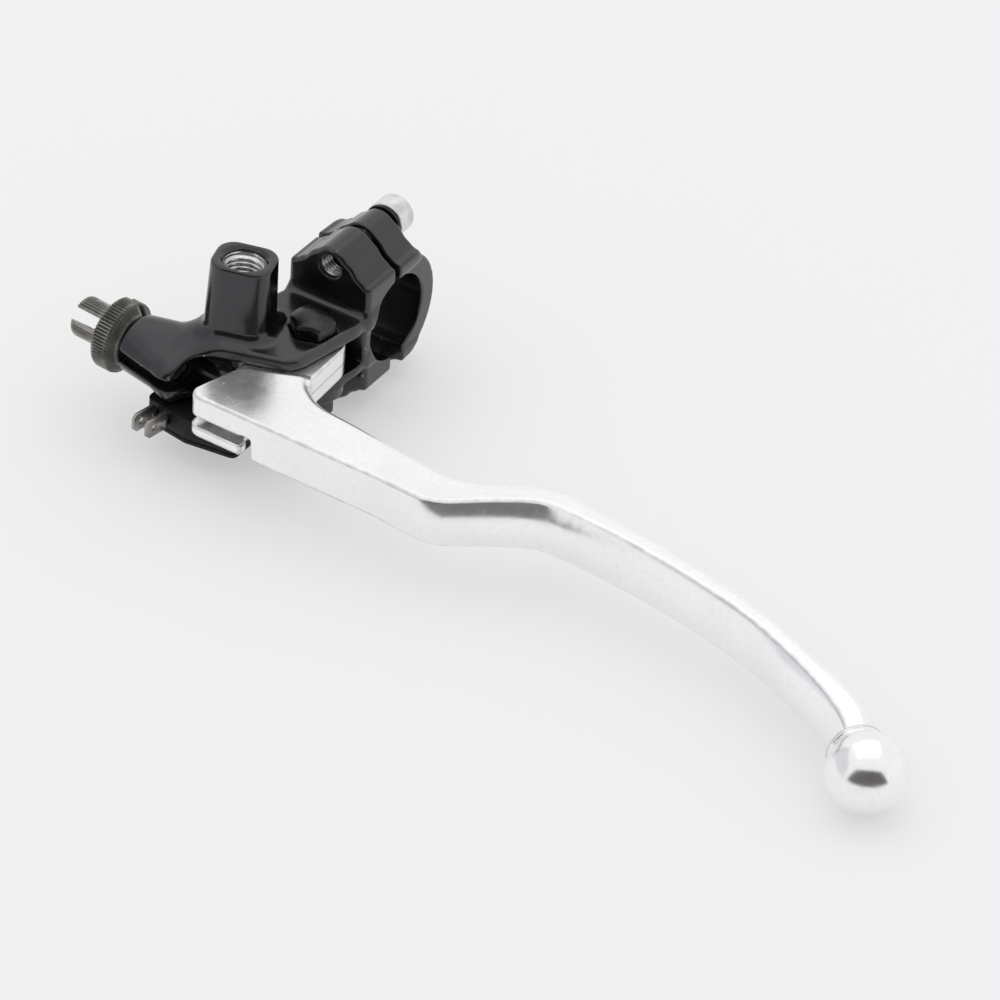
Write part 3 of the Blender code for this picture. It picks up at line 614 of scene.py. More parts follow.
def cast_aluminium():
    """Polished by hand over a casting: broad ripples, fine grain, a parting line and painted
    shade along its edges.
    """
    mat, tree, shader = new_material("lever_aluminium_fine")
    cloud = grain(tree, 70, 4)
    fine = grain(tree, 2600, 3)
    rubs = grain(tree, 300, 5)
    color = blend_colors(tree, spread(tree, cloud), (0.93, 0.93, 0.935), (0.97, 0.97, 0.975))
    dulled = remap(tree, grain(tree, 900, 4), 0.45, 0.75, 0.0, 0.35)
    color = blend_colors(tree, dulled, color, (0.82, 0.81, 0.825))

    # The root is a little rougher and less bare than the blade.
    place = put(tree, "ShaderNodeSeparateXYZ",
                {0: put(tree, "ShaderNodeTexCoord").outputs["Object"]})
    unpolished = remap(tree, place.outputs[0], *POLISH_X, 0.03, 0.0)
    bare = remap(tree, place.outputs[0], *POLISH_X, 0.90, 0.98)
    rough = compute(tree, "ADD", remap(tree, rubs, 0.3, 0.7, 0.13, 0.20),
                    remap(tree, fine, 0.35, 0.65, 0.0, 0.06))
    rough = compute(tree, "ADD", rough, unpolished)

    # The mould's parting line shows on the root's side only.
    off_line = compute(tree, "SUBTRACT", place.outputs[2], LEVER_MID_Z * MM)
    off_line = compute(tree, "ABSOLUTE", off_line)
    at_root = compute(tree, "MULTIPLY",
                      compute(tree, "LESS_THAN", place.outputs[0], PARTING_LINE_X),
                      compute(tree, "GREATER_THAN", place.outputs[1], PARTING_LINE_Y))
    line = both(tree, remap(tree, off_line, 0.0001, 0.0003, 1.0, 0.0), at_root)
    color = blend_colors(tree, compute(tree, "MULTIPLY", line, 0.6), color, (0.2, 0.2, 0.2))

    # Painted shade: the convex edges are greyed into a dark line, which also dims the lamp's
    # bright highlight along them.
    painted_edge_shade = both(tree, edge_mask(tree, 0.18, 0.5), remap(tree, rubs, 0.35, 0.6, 0.35, 0.8))
    color = blend_colors(tree, painted_edge_shade, color, (0.58, 0.575, 0.59))
    link(tree, shader, Base_Color=color, Roughness=rough, Metallic=bare)
    ripple = bump(tree, shader, grain(tree, 190, 3), 0.25, 0.00012)
    bump(tree, shader, fine, 0.1, 0.00004, ripple)
    return mat


def metal(name, dark, light, rough_low, rough_high, scale=900, strength=0.1):
    """Plated or bare metal with a fine grain and stains."""
    mat, tree, shader = new_material(name)
    cloud = grain(tree, scale * 0.3, 4)
    fine = grain(tree, scale * 2, 3)
    link(tree, shader, Base_Color=blend_colors(tree, spread(tree, cloud), dark, light),
         Roughness=remap(tree, fine, 0.3, 0.7, rough_low, rough_high))
    shader.inputs["Metallic"].default_value = 1.0
    bump(tree, shader, fine, strength, 0.00004)
    return mat


def plastic(name, dark, light, rough_low, rough_high, shine=0.5):
    mat, tree, shader = new_material(name)
    fine = grain(tree, 2200, 3)
    cloud = grain(tree, 140, 3)
    link(tree, shader, Base_Color=blend_colors(tree, spread(tree, cloud), dark, light),
         Roughness=remap(tree, fine, 0.3, 0.7, rough_low, rough_high))
    shader.inputs["Specular IOR Level"].default_value = shine
    bump(tree, shader, fine, 0.15, 0.00005)
    return mat


def knurled_metal(name, dark, light, crest):
    """Anodised olive metal, worn paler where the knurl stands proud."""
    mat, tree, shader = new_material(name)
    cloud = grain(tree, 240, 4)
    fine = grain(tree, 2200, 3)
    color = blend_colors(tree, spread(tree, cloud), dark, light)
    worn = both(tree, edge_mask(tree, 0.08, 0.45), remap(tree, cloud, 0.4, 0.6, 0.3, 0.9))
    color = blend_colors(tree, worn, color, crest)
    link(tree, shader, Base_Color=color, Roughness=remap(tree, fine, 0.3, 0.7, 0.38, 0.52))
    shader.inputs["Metallic"].default_value = 0.75
    bump(tree, shader, fine, 0.15, 0.00004)
    return mat


BLACK_PAINT = black_paint()
ALUMINIUM = cast_aluminium()
OLIVE = knurled_metal("olive_metal_fine", (0.05, 0.049, 0.041), (0.09, 0.088, 0.075),
                      (0.30, 0.295, 0.265))
PALE_OLIVE = knurled_metal("pale_olive_fine", (0.11, 0.107, 0.095), (0.18, 0.175, 0.155),
                           (0.48, 0.47, 0.43))
ZINC = metal("zinc_fine", (0.60, 0.60, 0.60), (0.78, 0.78, 0.77), 0.26, 0.42)
BARE_THREAD = metal("bare_thread", (0.50, 0.50, 0.50), (0.80, 0.80, 0.79), 0.15, 0.32)
DULL_THREAD = metal("dull_thread", (0.30, 0.30, 0.30), (0.55, 0.55, 0.54), 0.2, 0.36)
DARK_STEEL = metal("dark_steel_fine", (0.03, 0.03, 0.03), (0.07, 0.07, 0.068), 0.35, 0.5)
BLACK_STEEL = metal("black_steel_fine", (0.035, 0.034, 0.034), (0.075, 0.073, 0.072),
                    0.22, 0.40, 500, 0.25)
BRONZE = metal("bronze_fine", (0.36, 0.25, 0.12), (0.54, 0.39, 0.20), 0.38, 0.55)
COPPER = metal("copper_fine", (0.55, 0.30, 0.17), (0.78, 0.44, 0.27), 0.28, 0.42)
TINNED = metal("tinned_brass_fine", (0.26, 0.255, 0.24), (0.42, 0.41, 0.385), 0.26, 0.42)
BLACK_PLASTIC = plastic("black_plastic_fine", (0.003, 0.003, 0.003), (0.006, 0.006, 0.006),
                        0.42, 0.56, 0.25)
NYLON = plastic("nylon_fine", (0.62, 0.60, 0.53), (0.76, 0.74, 0.67), 0.42, 0.58)


# ---------------------------------------------------------------- perch

# The ears in plan, from the clamp round the nose and back to the clamp.
EAR_OUTLINE = [
    (CLAMP_HALF_WIDTH, SPLIT_PERCH_Y - 1.5), (CLAMP_HALF_WIDTH, -13.5), (11.7, -17.0),
    (10.5, -23.2), (9.6, -27.8), (8.7, -32.3), (7.9, -36.0), (5.6, -38.8), (1.9, -39.9),
    (-4.2, -41.9), (-10.8, -44.1), (-14.4, -45.8), (-16.8, -47.6), (-18.0, -50.4),
    (-19.6, -50.6), (-20.8, -46.0), (-21.4, -39.0), (-19.5, -30.0), (-13.0, -19.0),
    (-CLAMP_HALF_WIDTH, -13.5), (-CLAMP_HALF_WIDTH, SPLIT_PERCH_Y - 1.5)]
# The gap between the ears in plan, and the pocket that runs from it into the nose.
CAVITY_OUTLINE = [
    (14.0, -14.0), (0.0, -14.0), (-4.5, -15.6), (-7.0, -19.0), (-8.7, -38.4), (-8.9, -64.0),
    (32.0, -64.0), (32.0, -14.0)]
POCKET_OUTLINE = [
    (-2.0, -39.8), (-11.8, -40.2), (-14.4, -41.6), (-16.2, -43.8), (-17.0, -46.6),
    (-17.8, -64.0), (-2.0, -64.0)]
# Balls that the arm's hull runs round: the nose, the shoulder and the belly.
ARM_BALLS = [
    ((-19.6, -50.0, -2.9), 4.3), ((-18.5, -39.0, 0.0), 5.6), ((-20.0, -37.0, -2.8), 5.0)]
# Boxes by their lowest and highest corners.
SWITCH_PAD = ((-23.6, -40.0, EAR_BOTTOM_Z), (-12.0, -30.0, 2.2))
CABLE_SLOT = ((-40, -60, -4.0), (-15, -43.2, -1.0))
SWITCH_SEAT = ((-24.6, -60, -20), (2, -31.2, -8.5))
SWITCH_NECK_ROOM = ((-21.8, -38.3, -12), (-10.5, -31.7, 0.9))


def lug_outline(sign, foot):
    """One end of the clamp in XZ: end flats, hollow shoulders and a round hump."""
    hump = arc((0, HUMP_Z), HUMP_RADIUS, 40, 140, 10)
    side = [(CLAMP_HALF_WIDTH, foot), (CLAMP_HALF_WIDTH, LUG_END_Z), (10.0, LUG_END_Z + 0.2),
            (8.9, 16.1), (7.4, 17.0), (5.9, 19.0)]
    left = [(-x, z) for x, z in reversed(side)]
    return [(x, z * sign) for x, z in side + hump + left]


def mirror_frame():
    lean = Matrix.Rotation(-MIRROR_LEAN, 4, "X") @ Matrix.Rotation(MIRROR_TURN, 4, "Z")
    return Matrix.Translation(MIRROR_AT) @ lean


def adjuster_frame():
    """Z outwards along the adjuster's axis, X forward, Y up."""
    outward = (-cos(ADJUSTER_YAW), sin(ADJUSTER_YAW), 0)
    return Matrix.Translation(ADJUSTER_AT) @ facing(outward)


def perch_lug(grid, sign):
    """The perch's share of one end of the clamp."""
    outline = polygon(grid.x, grid.z, lug_outline(sign, 4.0))
    outline = soften(outline, LUG_SOFTNESS, grid.step)
    lug = meet(outline, CLAMP_FRONT_Y - grid.y, 1.3)
    return meet(lug, grid.y - SPLIT_PERCH_Y, SPLIT_EDGE)


def perch_ears(grid):
    """Both ears as one block, whose top falls away towards the nose."""
    outline = soften(polygon(grid.x, grid.y, EAR_OUTLINE), 0.7, grid.step)
    on = ((NOSE_FALL_AT[0] - grid.x) * NOSE_FALL_WAY[0]
          + (NOSE_FALL_AT[1] - grid.y) * NOSE_FALL_WAY[1])
    fall = np.clip(on / NOSE_FALL_LENGTH, 0, 1)
    top = grid.z - EAR_TOP_Z + NOSE_FALL * fall * fall * (3 - 2 * fall)
    ears = meet(outline, top, 1.6)
    ears = meet(ears, EAR_BOTTOM_Z - grid.z, 0.5)
    return meet(ears, grid.y - SPLIT_PERCH_Y, SPLIT_EDGE)


def perch_arm(grid, out):
    """The arm that carries the adjuster: a soft hull round its boss and three balls."""
    points = []
    for end in (1.5, -5.0):
        for u, v in arc((0, 0), ARM_RADIUS, 0, 350, 35):
            points.append(tuple(adjuster_frame() @ Vector((u, v, end))))
    for center, radius in ARM_BALLS:
        points += ball_points(center, radius)
    return meet(soften(wrap(grid, points), ARM_SOFTNESS, grid.step), out + GAP, 0.9)


def mirror_boss(across, along, up):
    """A block with round corners that widens downwards from the mirror's seat."""
    widen = -up * tan(MIRROR_DRAFT)
    side_x = np.abs(across) - MIRROR_SIZE[0] / 2 - widen + MIRROR_CORNER
    side_y = np.abs(along) - MIRROR_SIZE[1] / 2 - widen + MIRROR_CORNER
    boss = np.hypot(np.maximum(side_x, 0), np.maximum(side_y, 0)) - MIRROR_CORNER
    boss = boss + np.minimum(np.maximum(side_x, side_y), 0)
    return meet(boss, slab(up, -MIRROR_BOSS_DEPTH, 0.0), 0.7)


def perch_cavity(grid):
    """The gap that the lever works in, and the rounded pocket behind its end."""
    height = slab(grid.z, CAVITY_BOTTOM_Z, CAVITY_TOP_Z)
    cavity = soften(polygon(grid.x, grid.y, CAVITY_OUTLINE), 0.6, grid.step)
    pocket = soften(polygon(grid.x, grid.y, POCKET_OUTLINE), 0.8, grid.step)
    return np.minimum(meet(cavity, height, 0.3), meet(pocket, height, POCKET_EDGE))


def perch_field(grid):
    x, y, z = grid.x, grid.y, grid.z
    forward, upward, out = local(grid, adjuster_frame())
    across, along, up = local(grid, mirror_frame())
    pivot = np.hypot(x - PIVOT[0], y - PIVOT[1])

    body = weld(perch_ears(grid), perch_lug(grid, 1), 2.4)
    body = weld(body, perch_lug(grid, -1), 1.0)
    body = weld(body, perch_arm(grid, out), 5.0)
    body = weld(body, mirror_boss(across, along, up), 3.0)
    body = weld(body, block(grid, *SWITCH_PAD, 0.6), 1.0)
    nut_boss = meet(pivot - PIVOT_BOSS_RADIUS, slab(z, PIVOT_BOSS_Z, -7.0), 0.5)
    body = weld(body, nut_boss, 0.8)

    body = carve(body, perch_cavity(grid), 0.8)
    body = carve(body, np.hypot(y, z) - BAR_RADIUS, BORE_EDGE)
    bore = meet(np.hypot(forward, upward) - ADJUSTER_BORE_RADIUS, slab(out, -26.0, 3.0))
    body = carve(body, bore, 0.3)
    body = carve(body, block(grid, *CABLE_SLOT), 0.4)
    body = carve(body, block(grid, *SWITCH_SEAT), 0.3)
    body = carve(body, block(grid, *SWITCH_NECK_ROOM), 0.3)
    plunger = np.hypot(y - PLUNGER_AT[0], z - PLUNGER_AT[1]) - PLUNGER_HOLE_RADIUS
    body = carve(body, meet(plunger, slab(x, -12, -6)), 0.3)
    tap = np.hypot(x - SWITCH_SCREW_AT[0], y - SWITCH_SCREW_AT[1]) - SWITCH_SCREW_RADIUS
    body = carve(body, meet(tap, slab(z, -12, -2)), 0.3)

    seat = hexagon(x - PIVOT[0], y - PIVOT[1], HEX_FLATS + 0.2)
    body = carve(body, meet(seat, slab(z, PIVOT_RECESS_Z, 12.0), 0.2), 0.2)
    behind_head = meet(pivot - FILLET_CUT_RADIUS, slab(z, EAR_TOP_Z + 0.4, 14.0), 0.3)
    body = carve(body, behind_head, 0.4)
    body = carve(body, meet(pivot - (SHOULDER_RADIUS + GAP), slab(z, 0, 10)), 0.3)
    body = carve(body, meet(pivot - (M6_RADIUS + GAP), slab(z, -12, 0)), 0.3)
    hole = np.hypot(across, along)
    thread = meet(hole - M10_RADIUS - 0.05, slab(up, -MIRROR_HOLE_DEPTH, 1.0))
    body = carve(body, thread, 0.3)
    countersink = np.maximum((hole - COUNTERSINK_RADIUS - up) * 0.7, up - 1)
    body = np.maximum(body, -countersink)
    for sign in (1, -1):
        bolt = np.hypot(x, z - CLAMP_BOLT_Z * sign)
        body = carve(body, meet(bolt - M6_RADIUS - 0.15, slab(y, -16, 2)), 0.4)
    return body


def clamp_cap_field(grid):
    x, y, z = grid.x, grid.y, grid.z
    level = LUG_END_Z - 0.4
    width = slab(x, -CLAMP_HALF_WIDTH, CLAMP_HALF_WIDTH)
    ring = meet(np.hypot(y, z) - CAP_OUTER_RADIUS, width, 0.5)
    body = meet(ring, slab(z, -level, level), 0.4)
    for sign, rear in ((1, CAP_UPPER_LUG_Y), (-1, CAP_LOWER_LUG_Y)):
        outline = soften(polygon(x, z, lug_outline(sign, 12.0)), LUG_SOFTNESS, grid.step)
        lug = meet(outline + np.clip(y, 0, 12) * CAP_LUG_DRAFT, y - rear, 1.1)
        lug = meet(lug, -2.0 - y, 0.3)
        body = weld(body, lug, 1.6)
    upper = np.maximum(y - SPLIT_CAP_UPPER_Y, -4 - z)
    lower = np.maximum(y - SPLIT_CAP_LOWER_Y, z + 3.9)
    body = carve(body, upper, 0.4)
    body = carve(body, lower, 0.4)
    body = carve(body, np.hypot(y, z) - BAR_RADIUS, BORE_EDGE)
    for sign, rear in ((1, CAP_UPPER_LUG_Y), (-1, CAP_LOWER_LUG_Y)):
        bolt = np.hypot(x, z - CLAMP_BOLT_Z * sign)
        body = carve(body, meet(bolt - M6_RADIUS - GAP, slab(y, -3, 20)), 0.3)
        spot = meet(bolt - CLAMP_HEAD_RADIUS - 0.6, slab(y, rear - SPOT_DEPTH, 25))
        body = carve(body, spot, 0.25)
    return body


# ---------------------------------------------------------------- lever

# Front and rear edges of the arm in plan.
ARM_FRONT = [
    (-8.4, -60.2), (11.4, -60.4), (31.0, -60.6), (44.0, -60.7), (55.5, -60.8), (62.0, -59.4),
    (71.0, -52.8), (79.5, -47.5), (86.0, -46.2), (101.5, -47.1), (121.7, -50.0),
    (141.0, -54.6), (158.0, -61.3), (170.3, -68.0), (177.8, -74.2)]
ARM_REAR = [
    (-8.4, -46.3), (-5.0, -43.9), (1.1, -41.3), (8.4, -37.9), (11.4, -37.4), (14.2, -41.0),
    (20.0, -44.6), (31.0, -46.1), (45.0, -48.0), (56.0, -49.5), (62.0, -48.9),
    (67.5, -46.0), (76.5, -40.6), (85.0, -38.5), (101.5, -40.5), (122.5, -43.5),
    (143.0, -48.6), (161.0, -55.7), (174.6, -62.0), (182.3, -69.6)]
# Along X: the arm's half thickness, the radius of its rear edges, and how much of
# FRONT_LEAN and FRONT_CURVE its front shows.
THICKNESS_X = [44, 56, 71, 80, 86, 122, 141, 158, 170, 178]
HALF_THICKNESS = [5.8, 6.05, 6.55, 6.85, 6.95, 6.95, 6.85, 6.55, 6.25, 5.65]
REAR_EDGE_X = [55, 80]
REAR_EDGE = [2.2, 3.6]
SWELL_X = [46, 64, 88, 108, 140, 152, 172]
SWELL = [0, 1, 1, 0.6, 0.6, 0.9, 0.9]
# The thinner root in plan, from the eye round the pivot to the arm.
ROOT_OUTLINE = arc(PIVOT, EYE_RADIUS, 0, 186, 40) + [
    (-4.9, -40.0), (-4.9, -54.0), (13.0, -54.0), (11.9, -37.0)]
# Boxes by their lowest and highest corners.
ROOT_CABLE_SLOT = ((-12, -64, -3.9), (9.4, -48.5, -1.05))
WIRE_NOTCH = ((7.9, -64, -12), (10.4, -54.0, -1.05))


def along_lever(grid, places, values):
    """A measure that changes along X between the places given."""
    return np.interp(grid.x, places, values).astype(np.float32)


def ball_square(grid):
    """Squared distance from the ball's centre."""
    return ((grid.x - BALL_AT[0]) ** 2 + (grid.y - BALL_AT[1]) ** 2
            + (grid.z - BALL_AT[2]) ** 2)


def lever_arm_field(grid, tip):
    """The dog-leg and the blade, between their edges in plan."""
    x, y, z = grid.x, grid.y, grid.z
    front_edge = [(-60.0, -60.2)] + through(ARM_FRONT) + [(230.0, -117.3)]
    front = polygon(x, y, front_edge + [(230.0, 200.0), (-60.0, 200.0)])
    rear_edge = [(-60.0, -82.7)] + through(ARM_REAR) + [(230.0, -116.7)]
    rear = polygon(x, y, rear_edge + [(230.0, -300.0), (-60.0, -300.0)])
    thick = np.abs(z - LEVER_MID_Z) - along_lever(grid, THICKNESS_X, HALF_THICKNESS)
    down = np.clip(1 - (z - LEVER_MID_Z) / BLADE_HALF_DEPTH, 0, 2)
    bulge = along_lever(grid, SWELL_X, SWELL) * (FRONT_LEAN * down - FRONT_CURVE * down ** 2)
    end = meet(front, LEVER_END[0] - x + END_SLANT * (y - LEVER_END[1]), END_CORNER)
    arm = meet(rear, thick, along_lever(grid, REAR_EDGE_X, REAR_EDGE))
    arm = meet(arm, end - bulge, 0.6)
    return meet(arm, tip + 2.0, 0.3)


def lever_field(grid):
    x, y, z = grid.x, grid.y, grid.z
    tip = (x - BALL_AT[0]) * NECK[0] + (y - BALL_AT[1]) * NECK[1]
    eye = polygon(x, y, ROOT_OUTLINE)
    root = meet(eye, slab(z, ROOT_BOTTOM_Z, ROOT_TOP_Z), 0.6)
    body = weld(lever_arm_field(grid, tip), root, 1.0)
    body = weld(body, np.sqrt(ball_square(grid)) - BALL_RADIUS, 1.0)
    aside = np.sqrt(np.maximum(ball_square(grid) - tip ** 2, 0))
    collar = meet(aside - COLLAR_RADIUS, np.abs(tip + COLLAR_AT) - COLLAR_HALF_WIDTH, 0.6)
    body = weld(body, collar, 0.5)

    hole = np.hypot(x - PIVOT[0], y - PIVOT[1]) - BUSH_RADIUS - GAP
    body = carve(body, hole, 0.3)
    body = carve(body, block(grid, *ROOT_CABLE_SLOT, 0.1), 0.16)
    body = carve(body, block(grid, *WIRE_NOTCH, 0.2), 0.8)
    nipple = np.hypot(x - NIPPLE_AT[0], y - NIPPLE_AT[1]) - NIPPLE_RADIUS
    return carve(body, meet(nipple, slab(z, -12, 1.5)), 0.3)


# ---------------------------------------------------------------- screws and adjuster

def clamp_screw_field(grid, z0, seat, tip):
    """Socket cap screw along Y, with a chamfered head and a hexagon socket."""
    head = seat + GAP + WASHER_THICKNESS + GAP
    top = head + CLAMP_HEAD_LENGTH
    across = np.hypot(grid.x, grid.z - z0)
    body = meet(across - CLAMP_HEAD_RADIUS, slab(grid.y, head, top), 0.55)
    body = weld(body, meet(across - M6_RADIUS, slab(grid.y, tip, head + 1), 0.5), 0.2)
    socket = hexagon(grid.x, grid.z - z0, SOCKET_FLATS, 0)
    return carve(body, meet(socket, slab(grid.y, top - SOCKET_DEPTH, top + 2)), 0.25)


def spring_washer_field(grid, z0, seat):
    """A split ring under the clamp screw's head."""
    across = np.hypot(grid.x, grid.z - z0)
    thickness = slab(grid.y, seat, seat + WASHER_THICKNESS)
    ring = meet(np.abs(across - 4.0) - 0.75, thickness, 0.15)
    split = np.maximum(np.abs(grid.z - z0 - (grid.y - seat) * 0.6) - 0.35, grid.x)
    return carve(ring, split, 0.1)


def hexagon(u, v, flats, turn=HEX_TURN):
    """A hexagon by half its width across flats."""
    turns = [turn + pi * k / 3 for k in range(3)]
    sides = [np.abs(u * cos(angle) + v * sin(angle)) - flats for angle in turns]
    return meet(meet(sides[0], sides[1], 0.5), sides[2], 0.5)


def pivot_bolt_field(grid):
    """Hexagon-headed shoulder bolt with a domed top."""
    seat = PIVOT_RECESS_Z + GAP
    u, v = grid.x - PIVOT[0], grid.y - PIVOT[1]
    radius = np.hypot(u, v)
    dome_middle = seat + HEX_HEIGHT - DOME_RADIUS
    dome = np.sqrt(u ** 2 + v ** 2 + (grid.z - dome_middle) ** 2) - DOME_RADIUS
    head = meet(hexagon(u, v, HEX_FLATS), slab(grid.z, seat, seat + 6), 0.3)
    head = meet(head, dome, 0.6)
    length = slab(grid.z, CAVITY_BOTTOM_Z + GAP, seat + 1)
    shoulder = meet(radius - SHOULDER_RADIUS, length, 0.3)
    shank = meet(radius - M6_RADIUS, slab(grid.z, -18.0, 0), 0.5)
    return weld(weld(head, shoulder, 0.3), shank, 0.2)


def knurl(u, v, ridges, depth):
    """How far a knurled surface lies below its crests."""
    return depth * (0.5 - 0.5 * np.cos(np.arctan2(v, u) * ridges))


def slot_axes(u, v, turn):
    """Distance along a slot that leaves the axis at an angle, and aside from it."""
    return u * cos(turn) + v * sin(turn), v * cos(turn) - u * sin(turn)


def wheel_field(grid):
    """The lock wheel: a knurled rim, a plain tapered collar and a cable slot."""
    u, v, w = local(grid, adjuster_frame())
    radius = np.hypot(u, v)
    rim = radius - WHEEL_RADIUS + knurl(u, v, *WHEEL_KNURL)
    rim = meet(rim, slab(w, WHEEL_COLLAR, WHEEL_LENGTH), 0.35)
    taper = np.clip(WHEEL_COLLAR - w, 0, WHEEL_COLLAR) * 0.9
    core = meet(radius - (WHEEL_RADIUS - 0.5) + taper, slab(w, 0, WHEEL_LENGTH - 0.3), 0.3)
    body = carve(np.minimum(rim, core), radius - ADJUSTER_BORE_RADIUS, 0.3)
    along, aside = slot_axes(u, v, WHEEL_SLOT_TURN)
    return carve(body, np.maximum(-along, np.abs(aside) - WHEEL_SLOT_HALF_WIDTH), 0.25)


def adjuster_screw_field(grid):
    """The forked, knurled head on its threaded barrel, slotted for the cable."""
    u, v, w = local(grid, adjuster_frame())
    radius = np.hypot(u, v)
    low = WHEEL_LENGTH + GAP
    high = low + HEAD_LENGTH
    head = meet(radius - HEAD_RADIUS + knurl(u, v, *HEAD_KNURL), slab(w, low, high), 0.5)
    turns = (w / BARREL_PITCH + np.arctan2(v, u) / (2 * pi)) % 1.0
    thread = BARREL_THREAD_DEPTH * np.abs(turns * 2 - 1)
    length = slab(w, -BARREL_LENGTH, low + 1)
    barrel = meet(radius - BARREL_RADIUS + thread, length, 0.3)
    body = carve(np.minimum(head, barrel), radius - CABLE_RADIUS, 0.25)
    along, aside = slot_axes(u, v, HEAD_SLOT_TURN)
    fork = np.maximum(np.abs(aside + FORK_OFFSET) - FORK_HALF_WIDTH, low + 2 - w)
    channel = np.maximum(-along, np.abs(aside) - HEAD_SLOT_HALF_WIDTH)
    return carve(carve(body, fork, 0.3), channel, 0.2)


# ---------------------------------------------------------------- pieces

def shape(node, make, step, body, mat):
    """Skins a field over a node's box, with a margin round it."""
    low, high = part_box(node)
    grid = Grid([c / MM - BOX_MARGIN for c in low], [c / MM + BOX_MARGIN for c in high], step)
    casting(f"{node}_fine", make(grid), grid, node, body, mat)


shape("perch_body", perch_field, 0.32, "perch", BLACK_PAINT)
shape("clamp_cap", clamp_cap_field, 0.32, "perch", BLACK_PAINT)
shape("lever_arm", lever_field, 0.36, "lever", ALUMINIUM)
shape("adjuster_lock_wheel", wheel_field, 0.15, "lock_wheel", OLIVE)
shape("adjuster_screw", adjuster_screw_field, 0.15, "adjuster", PALE_OLIVE)
shape("pivot_bolt", pivot_bolt_field, 0.2, "perch", BLACK_STEEL)
for end, sign, rear, tip in (("upper", 1, CAP_UPPER_LUG_Y, -7.5),
                             ("lower", -1, CAP_LOWER_LUG_Y, -6.0)):
    z0, seat = CLAMP_BOLT_Z * sign, rear - SPOT_DEPTH
    shape(f"clamp_bolt_{end}", lambda grid: clamp_screw_field(grid, z0, seat, tip),
          0.2, "perch", ZINC)
    shape(f"clamp_washer_{end}", lambda grid: spring_washer_field(grid, z0, seat + GAP),
          0.12, "perch", DARK_STEEL)
    mouth = Matrix.Translation((0, CLAMP_FRONT_Y + 0.9, z0)) @ facing((0, -1, 0))
    threaded_sleeve(f"clamp_thread_{end}", mouth, M6_RADIUS + 0.1, M6_PITCH, 4.2,
                    "perch", DULL_THREAD)
mouth = mirror_frame() @ Matrix.Translation((0, 0, -1.4))
threaded_sleeve("mirror_thread", mouth, M10_RADIUS, M10_PITCH, 12.0,
                "perch", BARE_THREAD)

for node, body, slot, mat, edge in (
        ("pivot_washer", "perch", "dark_steel", DARK_STEEL, SOLID_EDGE),
        ("pivot_nut", "perch", "dark_steel", DARK_STEEL, SOLID_EDGE),
        ("pivot_bushing", "lever", "bronze", BRONZE, SOLID_EDGE),
        ("switch_body", "perch", "black_plastic", BLACK_PLASTIC, SOLID_EDGE),
        ("switch_cover", "perch", "black_plastic", BLACK_PLASTIC, SOLID_EDGE),
        ("switch_screw", "perch", "zinc", ZINC, SOLID_EDGE),
        ("switch_plunger", "plunger", "nylon", NYLON, SOLID_EDGE),
        ("switch_contact", "plunger", "copper", COPPER, STRIP_EDGE),
        ("switch_terminal_outer", "perch", "tinned_brass", TINNED, STRIP_EDGE),
        ("switch_terminal_inner", "perch", "tinned_brass", TINNED, STRIP_EDGE)):
    refined(node, body, mat, edge)

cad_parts["switch_spring"].material_slots[0].material = ZINC


# ---------------------------------------------------------------- studio

def panel(name, corners, mat):
    """A flat side of the studio, from its four corners in metres."""
    mesh = bpy.data.meshes.new(name)
    mesh.from_pydata(corners, [], [(0, 1, 2, 3)])
    mesh.materials.append(mat)
    obj = new_object(name, mesh)
    return obj


def floor():
    """A pale floor that touches the clamp's humps and the ball, and glows by itself: painted
    light that lightens the shadows on it.
    """
    rise = (BALL_AT[2] - BALL_RADIUS + HUMP_Z + HUMP_RADIUS) / BALL_AT[0]
    low = -HUMP_Z - HUMP_RADIUS * sqrt(1 + rise * rise) - FLOOR_GAP
    half = FLOOR_HALF_WIDTH
    corners = [(-half, -half), (half, -half), (half, half), (-half, half)]
    mat, tree, shader = new_material("floor")
    color = blend_colors(tree, grain(tree, 4, 3), (0.50, 0.50, 0.50), (0.505, 0.505, 0.505))
    link(tree, shader, Base_Color=color)
    # Painted light: the floor glows, faintly pink, so the shadows on it stay light.
    shader.inputs["Emission Color"].default_value = (1.0, 0.985, 1.0, 1)
    shader.inputs["Emission Strength"].default_value = FLOOR_PAINTED_GLOW
    shader.inputs["Roughness"].default_value = 0.7
    shader.inputs["Specular IOR Level"].default_value = 0.1
    panel("floor", [(x * MM, y * MM, (low + rise * x) * MM) for x, y in corners], mat)


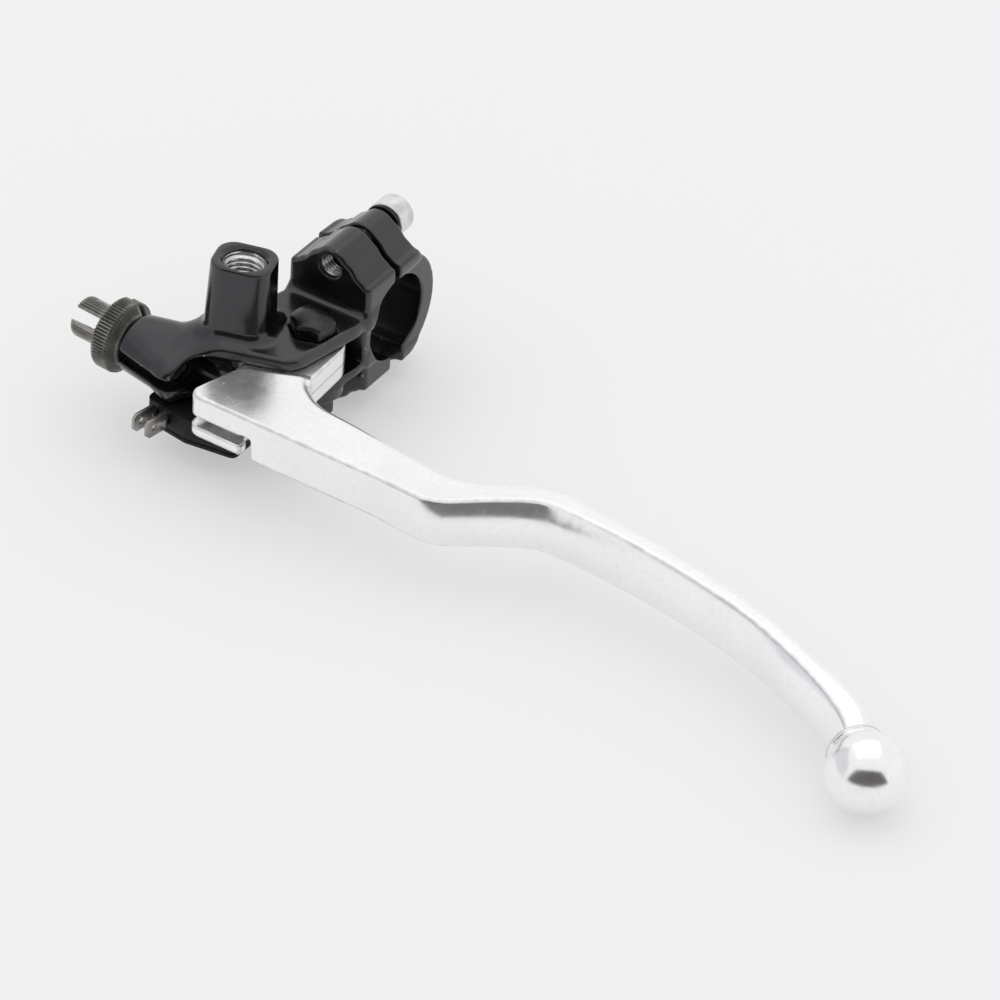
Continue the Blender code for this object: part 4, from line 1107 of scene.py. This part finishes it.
def card(name, heading, half, low, high, dark, light):
    """A grey side of the studio, in metres; only the metal's reflections show it."""
    turn = CAMERA_AZIMUTH + heading
    front = Vector((sin(turn), -cos(turn), 0))
    aside = Vector((cos(turn), sin(turn), 0))
    narrow = half * CARD_TAPER
    corners = [front * CARD_AWAY + aside * u + Vector((0, 0, v))
               for u, v in ((-half, low), (half, low), (narrow, high), (-narrow, high))]
    mat, tree, shader = new_material(name)
    link(tree, shader, Base_Color=blend_colors(tree, grain(tree, 3, 3), dark, light))
    obj = panel(name, corners, mat)
    obj.visible_camera = False
    obj.visible_shadow = False
    obj.visible_diffuse = False


def lights():
    """An even white sky and one soft lamp above."""
    world = bpy.data.worlds.new("studio")
    bpy.context.scene.world = world
    world.use_nodes = True
    background = world.node_tree.nodes["Background"]
    background.inputs["Color"].default_value = (1.0, 0.996, 1.0, 1)
    background.inputs["Strength"].default_value = SKY_STRENGTH
    lamp = bpy.data.lights.new("top", "AREA")
    lamp.shape = "SQUARE"
    lamp.size = LAMP_SIZE
    lamp.energy = LAMP_POWER
    obj = new_object("top", lamp)
    obj.location = LAMP_AT
    obj.rotation_mode = "QUATERNION"
    aim = Vector(LAMP_AIM) - Vector(LAMP_AT)
    obj.rotation_quaternion = aim.to_track_quat("-Z", "Y")


def camera():
    level = cos(CAMERA_ELEVATION)
    ahead = Vector((-sin(CAMERA_AZIMUTH) * level, cos(CAMERA_AZIMUTH) * level,
                    -sin(CAMERA_ELEVATION)))
    right = Vector((cos(CAMERA_AZIMUTH), sin(CAMERA_AZIMUTH), 0))
    up = right.cross(ahead)
    turned_right = right * cos(CAMERA_ROLL) + up * sin(CAMERA_ROLL)
    turned_up = up * cos(CAMERA_ROLL) - right * sin(CAMERA_ROLL)
    data = bpy.data.cameras.new("camera")
    data.lens = CAMERA_LENS
    data.sensor_width = CAMERA_SENSOR
    data.clip_start, data.clip_end = 0.05, 50
    obj = new_object("camera", data)
    turned = Matrix((turned_right, turned_up, -ahead)).transposed().to_4x4()
    obj.matrix_world = Matrix.Translation(Vector(CAMERA_AT) * MM) @ turned
    bpy.context.scene.camera = obj


floor()
card("dark_opening", 0.0, 3.2, 0.1, 2.4, (0.04, 0.036, 0.036), (0.10, 0.09, 0.09))
card("grey_wing", radians(-100), 2.0, 0.0, 2.0, (0.74, 0.72, 0.75), (0.80, 0.78, 0.81))
lights()
camera()
bpy.context.scene.view_settings.view_transform = "Standard"
bpy.context.scene.view_settings.look = "None"
